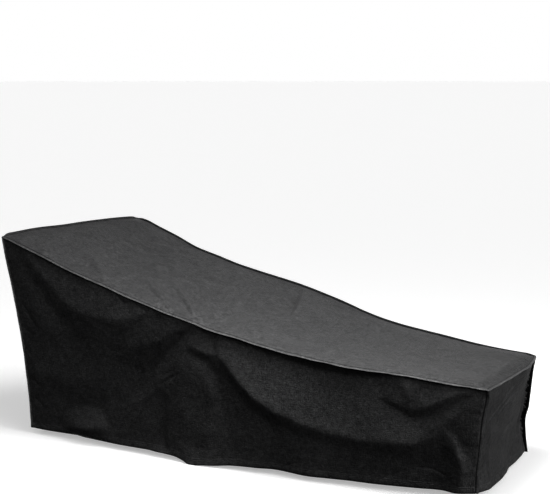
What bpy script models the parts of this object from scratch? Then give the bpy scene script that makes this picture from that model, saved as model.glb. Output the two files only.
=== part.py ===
"""A fitted cover for a lounge chair: five sewn panels of coated cloth, hanging as it does over a raised back rest.

Metres, +Z up. The head (the raised back rest) is at -X, the foot at +X, and -Y is the near side. The origin is at the
middle of the cover's box, on the ground. The cover is hollow, and open at its hem.
"""

import bpy
import bmesh
import math
import numpy as np

# ---------------------------------------------------------------- driving sizes

CLOTH = 0.0015          # thickness of the coated cloth, hems and seams taken together
SEAM_GAP = 0.0004       # how far each panel stands off its seam lines, outwards
FLANGE = 0.011          # width of the turned, topstitched edge that stands out along each seam
HEM_Z = 0.004           # height of the hem at the corners, in the measures below

HEAD_X_NEAR, HEAD_X_FAR = -1.088, -0.972     # ends of the long top seams
FOOT_X_NEAR, FOOT_X_FAR = 1.054, 1.006
HEAD_Y_NEAR, HEAD_Y_FAR = -0.414, 0.424
FOOT_Y_NEAR, FOOT_Y_FAR = -0.372, 0.360
HEM_HEAD_X_NEAR, HEM_HEAD_X_FAR = -0.963, -0.880
HEM_FOOT_X_NEAR, HEM_FOOT_X_FAR = 1.008, 1.014
HEM_HEAD_Y_NEAR, HEM_HEAD_Y_FAR = -0.405, 0.412
HEM_FOOT_Y_NEAR, HEM_FOOT_Y_FAR = -0.340, 0.250

# The middle of the finished cover's box, and its lowest point, in the measures above.
MID_X, MID_Y, LOW_Z = -0.01633, 0.00429, -0.02100

# ---------------------------------------------------------------- tables, one row for each section or fold

# Height of the two long top seams. s runs along them, 0 at the head and 1 at the foot.
TOP_SEAMS = (
    # s,    near_z, far_z
    (0.000, 0.831, 0.828),
    (0.030, 0.808, 0.814),
    (0.060, 0.785, 0.791),
    (0.117, 0.741, 0.749),
    (0.173, 0.699, 0.703),
    (0.229, 0.665, 0.673),
    (0.285, 0.626, 0.642),
    (0.336, 0.594, 0.620),
    (0.387, 0.564, 0.600),
    (0.440, 0.539, 0.579),
    (0.466, 0.522, 0.567),
    (0.517, 0.502, 0.540),
    (0.564, 0.482, 0.513),
    (0.615, 0.464, 0.480),
    (0.661, 0.451, 0.456),
    (0.708, 0.439, 0.438),
    (0.754, 0.431, 0.425),
    (0.800, 0.428, 0.413),
    (0.885, 0.421, 0.390),
    (0.927, 0.414, 0.382),
    (1.000, 0.405, 0.373),
)

# The seam over the head, t from the near corner to the far one.
HEAD_SEAM = (
    # t,   x,      z
    (0.00, -1.088, 0.831),
    (0.08, -1.078, 0.834),
    (0.25, -1.059, 0.839),
    (0.42, -1.039, 0.837),
    (0.60, -1.018, 0.839),
    (0.78, -0.996, 0.838),
    (0.93, -0.979, 0.834),
    (1.00, -0.972, 0.828),
)

# The seam over the foot.
FOOT_SEAM = (
    # t,   x,     z
    (0.00, 1.054, 0.405),
    (0.12, 1.051, 0.399),
    (0.24, 1.048, 0.392),
    (0.37, 1.047, 0.389),
    (0.51, 1.048, 0.387),
    (0.65, 1.049, 0.385),
    (0.78, 1.042, 0.386),
    (0.91, 1.025, 0.382),
    (1.00, 1.006, 0.373),
)

# The four upright seams, v from the top seam down to the hem.
UPRIGHTS_HEAD = (
    # v,   near_x, near_y, far_x,  far_y
    (0.00, -1.088, -0.414, -0.972, 0.424),
    (0.10, -1.074, -0.414, -0.962, 0.425),
    (0.25, -1.045, -0.412, -0.944, 0.424),
    (0.40, -1.021, -0.410, -0.930, 0.422),
    (0.55, -0.998, -0.409, -0.915, 0.420),
    (0.70, -0.982, -0.408, -0.900, 0.419),
    (0.85, -0.969, -0.407, -0.889, 0.416),
    (1.00, -0.963, -0.405, -0.880, 0.412),
)
UPRIGHTS_FOOT = (
    # v,   near_x, near_y, far_x, far_y
    (0.00, 1.054, -0.372, 1.006, 0.360),
    (0.13, 1.047, -0.368, 1.005, 0.333),
    (0.30, 1.033, -0.362, 1.005, 0.307),
    (0.49, 1.025, -0.357, 1.003, 0.292),
    (0.66, 1.018, -0.352, 0.992, 0.282),
    (0.80, 1.010, -0.346, 0.999, 0.268),
    (1.00, 1.008, -0.340, 1.014, 0.250),
)

# How far each hem runs across, s along the two sides, and how high the near one hangs.
SIDE_HEMS = (
    # s,    near_y, near_z, far_y
    (0.000, -0.405, 0.004, 0.412),
    (0.050, -0.410, 0.004, 0.420),
    (0.080, -0.409, 0.004, 0.424),
    (0.115, -0.408, 0.004, 0.431),
    (0.144, -0.419, 0.003, 0.437),
    (0.179, -0.426, 0.002, 0.442),
    (0.244, -0.434, 0.001, 0.438),
    (0.305, -0.435, 0.001, 0.446),
    (0.335, -0.444, -0.000, 0.456),
    (0.370, -0.446, -0.003, 0.467),
    (0.381, -0.448, -0.005, 0.469),
    (0.402, -0.457, -0.013, 0.473),
    (0.418, -0.465, -0.021, 0.474),
    (0.430, -0.465, -0.021, 0.472),
    (0.446, -0.462, -0.018, 0.468),
    (0.471, -0.455, -0.014, 0.458),
    (0.511, -0.443, -0.005, 0.446),
    (0.562, -0.436, -0.001, 0.441),
    (0.607, -0.422, 0.001, 0.446),
    (0.678, -0.432, -0.001, 0.452),
    (0.713, -0.425, 0.000, 0.447),
    (0.758, -0.414, 0.001, 0.431),
    (0.809, -0.406, 0.002, 0.410),
    (0.854, -0.394, 0.003, 0.388),
    (0.899, -0.379, 0.004, 0.360),
    (0.940, -0.366, 0.005, 0.325),
    (0.965, -0.374, 0.004, 0.296),
    (1.000, -0.340, 0.004, 0.250),
)

# How far the two end hems bow out past the straight line between their corners.
END_HEMS = (
    # t,   head_out, foot_out
    (0.00, 0.000, 0.000),
    (0.07, 0.006, 0.016),
    (0.13, 0.013, 0.027),
    (0.23, 0.021, 0.028),
    (0.34, 0.024, 0.029),
    (0.48, 0.018, 0.021),
    (0.61, 0.015, 0.009),
    (0.72, 0.022, 0.010),
    (0.86, 0.016, 0.006),
    (1.00, 0.000, 0.000),
)

# How the near side stands off the straight line between its top seam and its hem, outwards in metres. Under the seam
# it is first drawn in (the tuck), then it swags out to a ledge, turns under below it, and hangs down to the hem.
NEAR_SWAGS = (
    # s,    tuck,    ledge_v, ledge,  under_v, under,   low_v, low
    (0.000, 0.000, 0.25, 0.000, 0.50, 0.000, 0.75, 0.000),
    (0.060, 0.003, 0.10, 0.004, 0.20, 0.003, 0.35, 0.009),
    (0.120, 0.001, 0.15, 0.014, 0.45, 0.005, 0.90, 0.012),
    (0.170, -0.001, 0.20, 0.017, 0.45, 0.000, 0.70, -0.002),
    (0.220, 0.002, 0.20, 0.017, 0.45, -0.001, 0.70, -0.010),
    (0.270, 0.001, 0.15, 0.013, 0.60, -0.016, 0.75, -0.008),
    (0.320, 0.003, 0.25, 0.006, 0.45, -0.015, 0.85, -0.009),
    (0.360, 0.001, 0.20, 0.004, 0.30, -0.009, 0.90, -0.007),
    (0.400, 0.001, 0.20, -0.006, 0.35, 0.000, 0.85, -0.005),
    (0.430, -0.002, 0.40, 0.000, 0.55, -0.006, 0.90, -0.010),
    (0.460, -0.006, 0.15, 0.001, 0.35, -0.001, 0.90, -0.007),
    (0.500, -0.006, 0.20, 0.013, 0.35, 0.001, 0.75, -0.012),
    (0.550, -0.010, 0.35, 0.027, 0.55, 0.009, 0.90, -0.002),
    (0.600, -0.011, 0.30, 0.019, 0.45, 0.037, 0.60, 0.021),
    (0.660, -0.012, 0.45, 0.020, 0.55, 0.027, 0.65, 0.014),
    (0.720, -0.013, 0.10, -0.020, 0.60, 0.023, 0.70, 0.012),
    (0.780, -0.013, 0.35, 0.012, 0.60, 0.028, 0.75, 0.013),
    (0.830, -0.004, 0.40, 0.015, 0.60, 0.031, 0.75, 0.014),
    (0.880, -0.002, 0.20, 0.015, 0.40, 0.013, 0.50, 0.025),
    (0.920, 0.000, 0.10, 0.008, 0.55, 0.024, 0.70, 0.008),
    (0.960, 0.005, 0.35, 0.017, 0.55, 0.012, 0.90, -0.001),
    (1.000, 0.000, 0.25, 0.000, 0.50, 0.000, 0.75, 0.000),
)

# The far side, in the same way.
FAR_SWAGS = (
    # s,    tuck,    ledge_v, ledge,  under_v, under,   low_v, low
    (0.000, 0.000, 0.20, 0.000, 0.40, 0.000, 0.70, 0.000),
    (0.080, -0.002, 0.15, 0.012, 0.32, -0.006, 0.66, 0.002),
    (0.180, -0.003, 0.19, 0.026, 0.36, -0.006, 0.66, 0.004),
    (0.280, -0.004, 0.17, 0.024, 0.34, -0.012, 0.64, -0.004),
    (0.370, -0.004, 0.12, 0.008, 0.32, -0.014, 0.62, 0.006),
    (0.440, -0.003, 0.14, 0.010, 0.36, 0.008, 0.64, 0.012),
    (0.520, -0.005, 0.24, 0.018, 0.42, -0.003, 0.68, -0.006),
    (0.620, -0.010, 0.38, 0.026, 0.56, -0.004, 0.76, -0.010),
    (0.730, -0.013, 0.46, 0.028, 0.63, -0.002, 0.82, -0.008),
    (0.830, -0.010, 0.48, 0.024, 0.66, -0.002, 0.84, -0.006),
    (0.920, -0.006, 0.38, 0.013, 0.56, -0.006, 0.80, -0.006),
    (1.000, 0.000, 0.30, 0.000, 0.50, 0.000, 0.75, 0.000),
)

# How the top panel sags or crowns across its middle, upwards in metres.
TOP_SAG = (
    # s,   near_third, middle, far_third
    (0.00, 0.000, 0.000, 0.000),
    (0.08, -0.004, -0.007, -0.002),
    (0.20, -0.010, -0.014, -0.008),
    (0.32, -0.013, -0.018, -0.012),
    (0.42, -0.006, -0.013, -0.012),
    (0.52, -0.002, -0.008, -0.008),
    (0.64, -0.003, -0.008, -0.006),
    (0.76, -0.004, -0.009, -0.006),
    (0.88, -0.005, -0.008, -0.003),
    (1.00, 0.000, 0.000, 0.000),
)

# How far the top panel rounds over before its near seam, s along it, and before its foot seam, t across.
TOP_ROLL = (
    # s,   rise
    (0.00, 0.006),
    (0.06, 0.010),
    (0.13, 0.006),
    (0.42, 0.004),
    (0.70, 0.006),
    (1.00, 0.007),
)
TOP_ROLL_FOOT = (
    # t,   rise
    (0.00, 0.008),
    (0.30, 0.012),
    (0.60, 0.015),
    (1.00, 0.008),
)

# How the end panels bow out, outwards in metres.
FOOT_BOW = (
    # v,   near_third, middle, far_third
    (0.00, 0.000, 0.000, 0.000),
    (0.15, 0.002, 0.002, 0.000),
    (0.35, 0.002, 0.001, -0.009),
    (0.60, 0.000, -0.001, -0.010),
    (0.82, 0.000, 0.000, -0.004),
    (1.00, 0.000, 0.000, 0.000),
)
HEAD_BOW = (
    # v,   near_third, middle, far_third
    (0.00, 0.000, 0.000, 0.000),
    (0.12, -0.006, -0.009, -0.005),
    (0.30, -0.008, -0.014, -0.009),
    (0.55, 0.002, -0.006, -0.004),
    (0.80, 0.006, 0.004, 0.003),
    (1.00, 0.000, 0.000, 0.000),
)

# Single folds. Each runs from its start to its end on its panel, bowed sideways at its middle, and falls off to either
# side over its width. Lift is outwards: a ridge is positive and a trough is negative.
NEAR_FOLDS = (
    # x0,    z0,    x1,    z1,    bow,    width, lift
    (0.61, 0.39, 0.76, 0.29, 0.014, 0.022, 0.003),       # low ridge beside the swag
    (0.75, 0.40, 0.77, 0.36, 0.000, 0.024, 0.009),       # small swell above it
    (0.84, 0.25, 1.02, 0.35, 0.012, 0.026, 0.004),       # ridge under the swag crease
    (0.70, 0.04, 0.90, 0.06, 0.018, 0.022, -0.004),      # low bowed trough
    (-0.26, 0.21, -0.24, 0.02, 0.000, 0.024, 0.006),     # upright pleat under the kink
    (-0.09, 0.11, -0.05, 0.11, 0.000, 0.030, 0.004),     # small swell at the tent
    (-0.24, 0.44, -0.42, 0.24, 0.000, 0.030, -0.003),    # hollow behind the kink
)
FAR_FOLDS = (
    # x0,    z0,    x1,    z1,    bow,    width, lift
    (-0.90, 0.76, -0.72, 0.52, 0.012, 0.034, -0.010),
    (-0.72, 0.52, -0.62, 0.26, 0.012, 0.040, -0.007),
    (-0.10, 0.55, -0.28, 0.28, 0.012, 0.034, 0.012),
    (-0.08, 0.54, -0.06, 0.06, 0.010, 0.036, 0.010),
    (0.00, 0.50, 0.14, 0.16, -0.016, 0.034, -0.009),
    (0.60, 0.38, 0.78, 0.30, 0.014, 0.026, -0.008),
    (0.78, 0.30, 0.96, 0.35, 0.012, 0.026, -0.009),
    (0.90, 0.22, 0.95, 0.07, 0.000, 0.026, -0.008),
)
TOP_FOLDS = (
    # x0,    y0,    x1,    y1,    bow,    width, lift
    (-0.98, 0.26, -0.64, 0.13, 0.010, 0.070, -0.014),    # hollow under the far head corner
    (-0.82, -0.17, -0.60, -0.37, 0.010, 0.036, 0.012),   # soft ridges running down to the near seam
    (-0.55, -0.15, -0.28, -0.37, 0.010, 0.032, 0.011),
    (-0.44, -0.08, -0.19, -0.33, 0.014, 0.032, 0.010),
    (-0.20, 0.42, 0.05, 0.02, 0.010, 0.050, -0.012),     # crossing fold over the seat
    (0.08, 0.40, 0.25, 0.28, 0.000, 0.040, -0.008),
    (0.60, -0.03, 0.84, -0.10, 0.000, 0.030, 0.004),     # low ridge over the foot rest
    (0.66, 0.32, 0.92, 0.10, 0.000, 0.090, -0.008),      # and the hollow past it
)
FOOT_FOLDS = (
    # y0,    z0,    y1,   z1,    bow,   width, lift
    (-0.22, 0.34, 0.04, 0.27, 0.010, 0.022, 0.004),
    (-0.26, 0.26, -0.05, 0.20, 0.006, 0.024, -0.004),
    (0.24, 0.34, 0.16, 0.12, 0.010, 0.026, -0.006),
)
HEAD_FOLDS = (
    # y0,    z0,    y1,    z1,    bow,    width, lift
    (-0.34, 0.78, -0.16, 0.52, 0.012, 0.036, -0.009),
    (0.33, 0.78, 0.14, 0.50, -0.012, 0.036, -0.008),
    (-0.10, 0.62, -0.14, 0.10, 0.010, 0.040, 0.008),
    (0.16, 0.48, 0.20, 0.06, 0.000, 0.040, 0.007),
)

# Which way the turned edge of each seam stands.
FLANGE_WAY = {
    "near_top": (0.00, -0.97, -0.24),
    "far_top": (0.00, 0.65, 0.76),
    "head_top": (-0.60, 0.00, 0.80),
    "foot_top": (0.98, 0.00, -0.16),
    "head_near": (-1.00, -0.05, 0.00),
    "head_far": (-0.71, 0.71, 0.00),
    "foot_near": (0.98, 0.17, 0.00),
    "foot_far": (1.00, 0.00, 0.00),
}

# How finely the cloth is divided: closer where the folds are closer.
ALONG = (
    # up_to_s, steps
    (0.12, 5),
    (0.38, 7),
    (0.56, 8),
    (0.88, 10),
    (1.00, 5),
)
DOWN = (
    # up_to_v, steps
    (0.04, 1),
    (0.40, 6),
    (0.76, 4),
    (1.00, 2),
)
ACROSS_STEPS = 14

# ---------------------------------------------------------------- curves and sheets


def curve(rows, column, at):
    """A smooth curve through one column of a table whose first column is the place along it, with no overshoot."""
    a = np.array([r[0] for r in rows], float)
    b = np.array([r[column] for r in rows], float)
    at = np.asarray(at, float)
    h = np.diff(a)
    slope = np.diff(b) / h
    m = np.zeros_like(b)
    m[0], m[-1] = slope[0], slope[-1]
    for i in range(1, len(b) - 1):
        if slope[i - 1] * slope[i] > 0:
            w0, w1 = 2 * h[i] + h[i - 1], h[i] + 2 * h[i - 1]
            m[i] = (w0 + w1) / (w0 / slope[i - 1] + w1 / slope[i])
    k = np.clip(np.searchsorted(a, at, side="right") - 1, 0, len(h) - 1)
    u = np.clip((at - a[k]) / h[k], 0, 1)
    return ((1 + 2 * u) * (1 - u) ** 2 * b[k] + u * (1 - u) ** 2 * h[k] * m[k]
            + u * u * (3 - 2 * u) * b[k + 1] + u * u * (u - 1) * h[k] * m[k + 1])


def mix(a, b, f):
    return a + (b - a) * f


def ease(a, b, x):
    """0 below a, 1 above b, smooth between."""
    u = np.clip((np.asarray(x, float) - a) / (b - a), 0, 1)
    return u * u * (3 - 2 * u)


def divided(rows):
    """0 to 1 in steps whose size changes as a table says."""
    out, start = [0.0], 0.0
    for end, steps in rows:
        out += [mix(start, end, (k + 1) / steps) for k in range(steps)]
        start = end
    return np.array(out)


def coons(top, hem, start, end, u, v):
    """The sheet that four curves bound: top and hem run along u, start and end run along v."""
    u = u[:, None, None]
    v = v[None, :, None]
    ruled = (1 - v) * top[:, None] + v * hem[:, None] + (1 - u) * start[None] + u * end[None]
    corners = ((1 - u) * (1 - v) * top[0] + u * (1 - v) * top[-1] + (1 - u) * v * hem[0] + u * v * hem[-1])
    return ruled - corners


def fold_lift(rows, p, q):
    """The lift that all the folds of a table give at the places p, q on their panel."""
    lift_all = np.zeros_like(p)
    for p0, q0, p1, q1, bow, width, lift in rows:
        dp, dq = p1 - p0, q1 - q0
        length = math.hypot(dp, dq)
        along = ((p - p0) * dp + (q - q0) * dq) / length ** 2
        held = np.clip(along, 0, 1)
        side = ((p - p0) * dq - (q - q0) * dp) / length - bow * 4 * held * (1 - held)
        past = (along - held) * length
        fade = 0.6 + 0.4 * np.sin(math.pi * held)
        lift_all += lift * fade * np.exp(-(side / width) ** 2 - (past / width) ** 2)
    return lift_all


def swag_lift(rows, s, v):
    """The side's profile at each station: tuck, ledge, under, low, and back to nothing at the hem."""
    tuck, ledge_v, ledge, under_v, under, low_v, low = (curve(rows, c, s) for c in range(1, 8))
    out = np.zeros((len(s), len(v)))
    for i in range(len(s)):
        profile = ((0.0, 0.0), (0.05, tuck[i]), (ledge_v[i], ledge[i]), (under_v[i], under[i]), (low_v[i], low[i]),
                   (1.0, 0.0))
        out[i] = curve(profile, 1, v)
    return out


def thirds(rows, place, across):
    """A lift that a table gives at the near third, the middle and the far third of a panel."""
    near, middle, far = (curve(rows, c, place) for c in (1, 2, 3))
    out = np.zeros((len(place), len(across)))
    for i in range(len(place)):
        profile = ((0.0, 0.0), (0.25, near[i]), (0.5, middle[i]), (0.75, far[i]), (1.0, 0.0))
        out[i] = curve(profile, 1, across)
    return out


# ---------------------------------------------------------------- the seams

S = divided(ALONG)
V = divided(DOWN)
T = np.linspace(0, 1, ACROSS_STEPS + 1)

NEAR_SEAM = np.stack([mix(HEAD_X_NEAR, FOOT_X_NEAR, S), mix(HEAD_Y_NEAR, FOOT_Y_NEAR, S), curve(TOP_SEAMS, 1, S)], 1)
FAR_SEAM = np.stack([mix(HEAD_X_FAR, FOOT_X_FAR, S), mix(HEAD_Y_FAR, FOOT_Y_FAR, S), curve(TOP_SEAMS, 2, S)], 1)
HEAD_LINE = np.stack([curve(HEAD_SEAM, 1, T), mix(HEAD_Y_NEAR, HEAD_Y_FAR, T), curve(HEAD_SEAM, 2, T)], 1)
FOOT_LINE = np.stack([curve(FOOT_SEAM, 1, T), mix(FOOT_Y_NEAR, FOOT_Y_FAR, T), curve(FOOT_SEAM, 2, T)], 1)


def upright(rows, cx, cy, top_z):
    return np.stack([curve(rows, cx, V), curve(rows, cy, V), mix(top_z, HEM_Z, V)], 1)


HEAD_NEAR = upright(UPRIGHTS_HEAD, 1, 2, TOP_SEAMS[0][1])
HEAD_FAR = upright(UPRIGHTS_HEAD, 3, 4, TOP_SEAMS[0][2])
FOOT_NEAR = upright(UPRIGHTS_FOOT, 1, 2, TOP_SEAMS[-1][1])
FOOT_FAR = upright(UPRIGHTS_FOOT, 3, 4, TOP_SEAMS[-1][2])

HEM = np.full_like(S, HEM_Z)
NEAR_HEM = np.stack([mix(HEM_HEAD_X_NEAR, HEM_FOOT_X_NEAR, S), curve(SIDE_HEMS, 1, S), curve(SIDE_HEMS, 2, S)], 1)
FAR_HEM = np.stack([mix(HEM_HEAD_X_FAR, HEM_FOOT_X_FAR, S), curve(SIDE_HEMS, 3, S), HEM], 1)
HEM = np.full_like(T, HEM_Z)
HEAD_HEM = np.stack([mix(HEM_HEAD_X_NEAR, HEM_HEAD_X_FAR, T) - curve(END_HEMS, 1, T),
                     mix(HEM_HEAD_Y_NEAR, HEM_HEAD_Y_FAR, T), HEM], 1)
FOOT_HEM = np.stack([mix(HEM_FOOT_X_NEAR, HEM_FOOT_X_FAR, T) + curve(END_HEMS, 2, T),
                     mix(HEM_FOOT_Y_NEAR, HEM_FOOT_Y_FAR, T), HEM], 1)

# ---------------------------------------------------------------- the panels' sheets, inner face


def held(p, q, edge_p=0.04, edge_q=0.03, loose_end=False):
    """How free the cloth is to lift: nothing at the seams, all of it a little way in."""
    free_p = ease(0, edge_p, p) * ease(0, edge_p, 1 - p)
    free_q = ease(0, edge_q, q) * (1 if loose_end else ease(0, edge_q, 1 - q))
    return free_p[:, None] * free_q[None]


def near_sheet():
    sheet = coons(NEAR_SEAM, NEAR_HEM, HEAD_NEAR, FOOT_NEAR, S, V)
    out = swag_lift(NEAR_SWAGS, S, V)
    out += fold_lift(NEAR_FOLDS, sheet[..., 0], sheet[..., 2]) * held(S, V, 0.02, 0.05, True)
    sheet[..., 1] -= out
    return sheet


def far_sheet():
    sheet = coons(FAR_SEAM, FAR_HEM, HEAD_FAR, FOOT_FAR, S, V)
    out = swag_lift(FAR_SWAGS, S, V)
    out += fold_lift(FAR_FOLDS, sheet[..., 0], sheet[..., 2]) * held(S, V, 0.02, 0.05, True)
    sheet[..., 1] += out
    return sheet


def top_sheet():
    sheet = coons(NEAR_SEAM, FAR_SEAM, HEAD_LINE, FOOT_LINE, S, T)
    up = thirds(TOP_SAG, S, T)
    up += fold_lift(TOP_FOLDS, sheet[..., 0], sheet[..., 1]) * held(S, T, 0.03, 0.06)
    inside = ease(0, 0.20, 1 - T)[None] * ease(0, 0.06, S)[:, None]
    up += curve(TOP_ROLL, 1, S)[:, None] * ease(0, 0.07, T)[None] * ease(0, 0.03, 1 - S)[:, None] * inside
    up += curve(TOP_ROLL_FOOT, 1, T)[None] * (ease(0, 0.05, 1 - S) * ease(0.5, 0.9, S))[:, None] * inside
    sheet[..., 2] += up
    return sheet


def foot_sheet():
    sheet = coons(FOOT_LINE, FOOT_HEM, FOOT_NEAR, FOOT_FAR, T, V)
    out = thirds(FOOT_BOW, V, T).T
    out += fold_lift(FOOT_FOLDS, sheet[..., 1], sheet[..., 2]) * held(T, V, 0.08, 0.08, True)
    sheet[..., 0] += out
    return sheet


def head_sheet():
    sheet = coons(HEAD_LINE, HEAD_HEM, HEAD_NEAR, HEAD_FAR, T, V)
    out = thirds(HEAD_BOW, V, T).T
    out += fold_lift(HEAD_FOLDS, sheet[..., 1], sheet[..., 2]) * held(T, V, 0.08, 0.08, True)
    sheet[..., 0] -= out
    return sheet


# ---------------------------------------------------------------- sheets to solids


def corner_way(seam_a, seam_b):
    """Three turned edges meet at a corner of the top, so all three stand along the same way there."""
    signs = {"near": (0, -1), "far": (0, 1), "head": (-1, 0), "foot": (1, 0)}
    x = y = 0
    for seam in (seam_a, seam_b):
        for word in seam.split("_"):
            if word in signs:
                x, y = (signs[word][0] or x), (signs[word][1] or y)
    way = np.array((0.66 * x, 0.66 * y, 0.45 if "far" in seam_a + seam_b else -0.25))
    return way / np.linalg.norm(way)


def panel(name, sheet, edges, off, material):
    """One panel: its sheet, its turned edges along the seams, moved off its seam lines, then thickened outwards.

    edges holds the seams at u = 0, v = 0, u = 1 and v = 1, or None for a hem.
    """
    nu, nv = sheet.shape[:2]
    mesh = bmesh.new()
    grid = [[mesh.verts.new(sheet[i, j]) for j in range(nv)] for i in range(nu)]
    for i in range(nu - 1):
        for j in range(nv - 1):
            a, b, c, d = grid[i][j], grid[i + 1][j], grid[i + 1][j + 1], grid[i][j + 1]
            if (a.co - c.co).length < (b.co - d.co).length:
                mesh.faces.new((a, b, c))
                mesh.faces.new((a, c, d))
            else:
                mesh.faces.new((a, b, d))
                mesh.faces.new((b, c, d))

    # Walk round the rim: up the first end, along the top, down the last end, and back along the far seam.
    walk = [(0, j, 0) for j in range(nv - 1, 0, -1)]
    walk += [(i, 0, 1) for i in range(nu - 1)]
    walk += [(nu - 1, j, 2) for j in range(nv - 1)]
    if edges[3]:
        walk += [(i, nv - 1, 3) for i in range(nu - 1, 0, -1)]
        walk += [walk[0]]
    else:
        walk += [(nu - 1, nv - 1, 2)]
    corners = {(0, 0): (0, 1), (nu - 1, 0): (1, 2), (nu - 1, nv - 1): (2, 3), (0, nv - 1): (3, 0)}
    rim = {}
    for i, j, edge in walk:
        pair = corners.get((i, j))
        if pair and edges[pair[0]] and edges[pair[1]]:
            way = corner_way(edges[pair[0]], edges[pair[1]])
        else:
            way = np.array(FLANGE_WAY[edges[edge]])
            way = way / np.linalg.norm(way)
        if (i, j) not in rim:
            rim[(i, j)] = mesh.verts.new(sheet[i, j] + FLANGE * way)
    for (i0, j0, _), (i1, j1, _) in zip(walk[:-1], walk[1:]):
        # The lower station comes first, so that both panels of a seam are divided alike.
        lo, hi = sorted(((i0, j0), (i1, j1)))
        a, b = grid[lo[0]][lo[1]], grid[hi[0]][hi[1]]
        mesh.faces.new((a, b, rim[hi]))
        mesh.faces.new((a, rim[hi], rim[lo]))
    bmesh.ops.recalc_face_normals(mesh, faces=mesh.faces[:])
    outward = np.array(off)
    middle = grid[nu // 2][nv // 2]
    if sum(f.normal.dot(outward) for f in middle.link_faces) < 0:
        bmesh.ops.reverse_faces(mesh, faces=mesh.faces[:])

    data = bpy.data.meshes.new(name)
    mesh.to_mesh(data)
    mesh.free()
    obj = bpy.data.objects.new(name, data)
    bpy.context.scene.collection.objects.link(obj)
    data.materials.append(material)
    data.shade_smooth()
    obj.parent = cover
    obj.location = outward * SEAM_GAP
    cloth = obj.modifiers.new("cloth", "SOLIDIFY")
    cloth.thickness = CLOTH
    cloth.offset = 1
    cloth.use_even_offset = True
    cloth.thickness_clamp = 0
    return obj


def coated_cloth(name, grey, roughness):
    material = bpy.data.materials.new(name)
    material.use_nodes = True
    shader = material.node_tree.nodes["Principled BSDF"]
    shader.inputs["Base Color"].default_value = (grey, grey, grey * 1.02, 1)
    shader.inputs["Roughness"].default_value = roughness
    shader.inputs["Metallic"].default_value = 0
    return material


for old in list(bpy.data.objects):
    bpy.data.objects.remove(old, do_unlink=True)

cover = bpy.data.objects.new("cover", None)
cover.location = (-MID_X, -MID_Y, -LOW_Z)
bpy.context.scene.collection.objects.link(cover)

panel("top_panel", top_sheet(), ("head_top", "near_top", "foot_top", "far_top"), (0, 0, 1),
      coated_cloth("top_cloth", 0.030, 0.62))
panel("side_near", near_sheet(), ("head_near", "near_top", "foot_near", None), (0, -1, 0),
      coated_cloth("near_cloth", 0.022, 0.66))
panel("side_far", far_sheet(), ("head_far", "far_top", "foot_far", None), (0, 1, 0),
      coated_cloth("far_cloth", 0.022, 0.66))
panel("foot_end", foot_sheet(), ("foot_near", "foot_top", "foot_far", None), (1, 0, 0),
      coated_cloth("foot_cloth", 0.024, 0.64))
panel("head_end", head_sheet(), ("head_near", "head_top", "head_far", None), (-1, 0, 0),
      coated_cloth("head_cloth", 0.024, 0.64))
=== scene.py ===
"""The lounge chair cover as it looks: five sewn panels of black coated cloth, with their folds, seams, hem and thread.

The shape functions and tables repeat the part's own, at a finer division, and the smaller creases are added to them.
Metres, +Z up. The head is at -X, the foot at +X, and -Y is the near side.
"""

import math

import bpy
import numpy as np
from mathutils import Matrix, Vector
from mathutils.geometry import delaunay_2d_cdt


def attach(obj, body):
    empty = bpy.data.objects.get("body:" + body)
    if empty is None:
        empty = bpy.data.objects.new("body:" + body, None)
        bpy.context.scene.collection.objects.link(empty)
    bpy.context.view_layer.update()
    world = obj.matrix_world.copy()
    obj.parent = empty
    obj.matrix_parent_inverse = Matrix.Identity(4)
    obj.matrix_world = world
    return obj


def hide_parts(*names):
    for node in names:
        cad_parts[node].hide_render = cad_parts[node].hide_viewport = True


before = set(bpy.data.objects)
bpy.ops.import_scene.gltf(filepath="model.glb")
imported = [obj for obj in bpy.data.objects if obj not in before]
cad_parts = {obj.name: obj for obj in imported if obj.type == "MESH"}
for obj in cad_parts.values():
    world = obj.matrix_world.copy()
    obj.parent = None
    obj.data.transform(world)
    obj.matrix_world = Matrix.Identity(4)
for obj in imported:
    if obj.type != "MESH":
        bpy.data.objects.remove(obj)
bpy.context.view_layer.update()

# ---------------------------------------------------------------- driving sizes

CLOTH = 0.0010          # thickness of the cloth as it shows
SEAM_GAP = 0.0003       # how far each panel stands off its seam lines, outwards
FLANGE = 0.011          # width of the turned, topstitched edge that stands out along each seam
HEM_Z = 0.004           # height of the hem line over the ground
BACKDROP = 1.0          # brightness of the backdrop, as bright as the floor
HEM_BAND = 0.025        # width of the turned hem
SEAM_GROOVE = 0.0020    # how deep the seam line is drawn in
STITCH = 0.0034         # length of one stitch
STITCH_PITCH = 0.0044   # and from one to the next
THREAD = 0.00042        # radius of the sewing thread

HEAD_X_NEAR, HEAD_X_FAR = -1.088, -0.972     # ends of the long top seams
FOOT_X_NEAR, FOOT_X_FAR = 1.054, 1.006
HEAD_Y_NEAR, HEAD_Y_FAR = -0.414, 0.424
FOOT_Y_NEAR, FOOT_Y_FAR = -0.372, 0.360
HEM_HEAD_X_NEAR, HEM_HEAD_X_FAR = -0.963, -0.880
HEM_FOOT_X_NEAR, HEM_FOOT_X_FAR = 1.008, 1.014
HEM_HEAD_Y_NEAR, HEM_HEAD_Y_FAR = -0.405, 0.412
HEM_FOOT_Y_NEAR, HEM_FOOT_Y_FAR = -0.340, 0.250

# The middle of the cover's box, and its lowest point, in the measures above.
MIDDLE = np.array((-0.01633, 0.00429, -0.02100))

# ---------------------------------------------------------------- tables, one row for each section or fold

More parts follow.
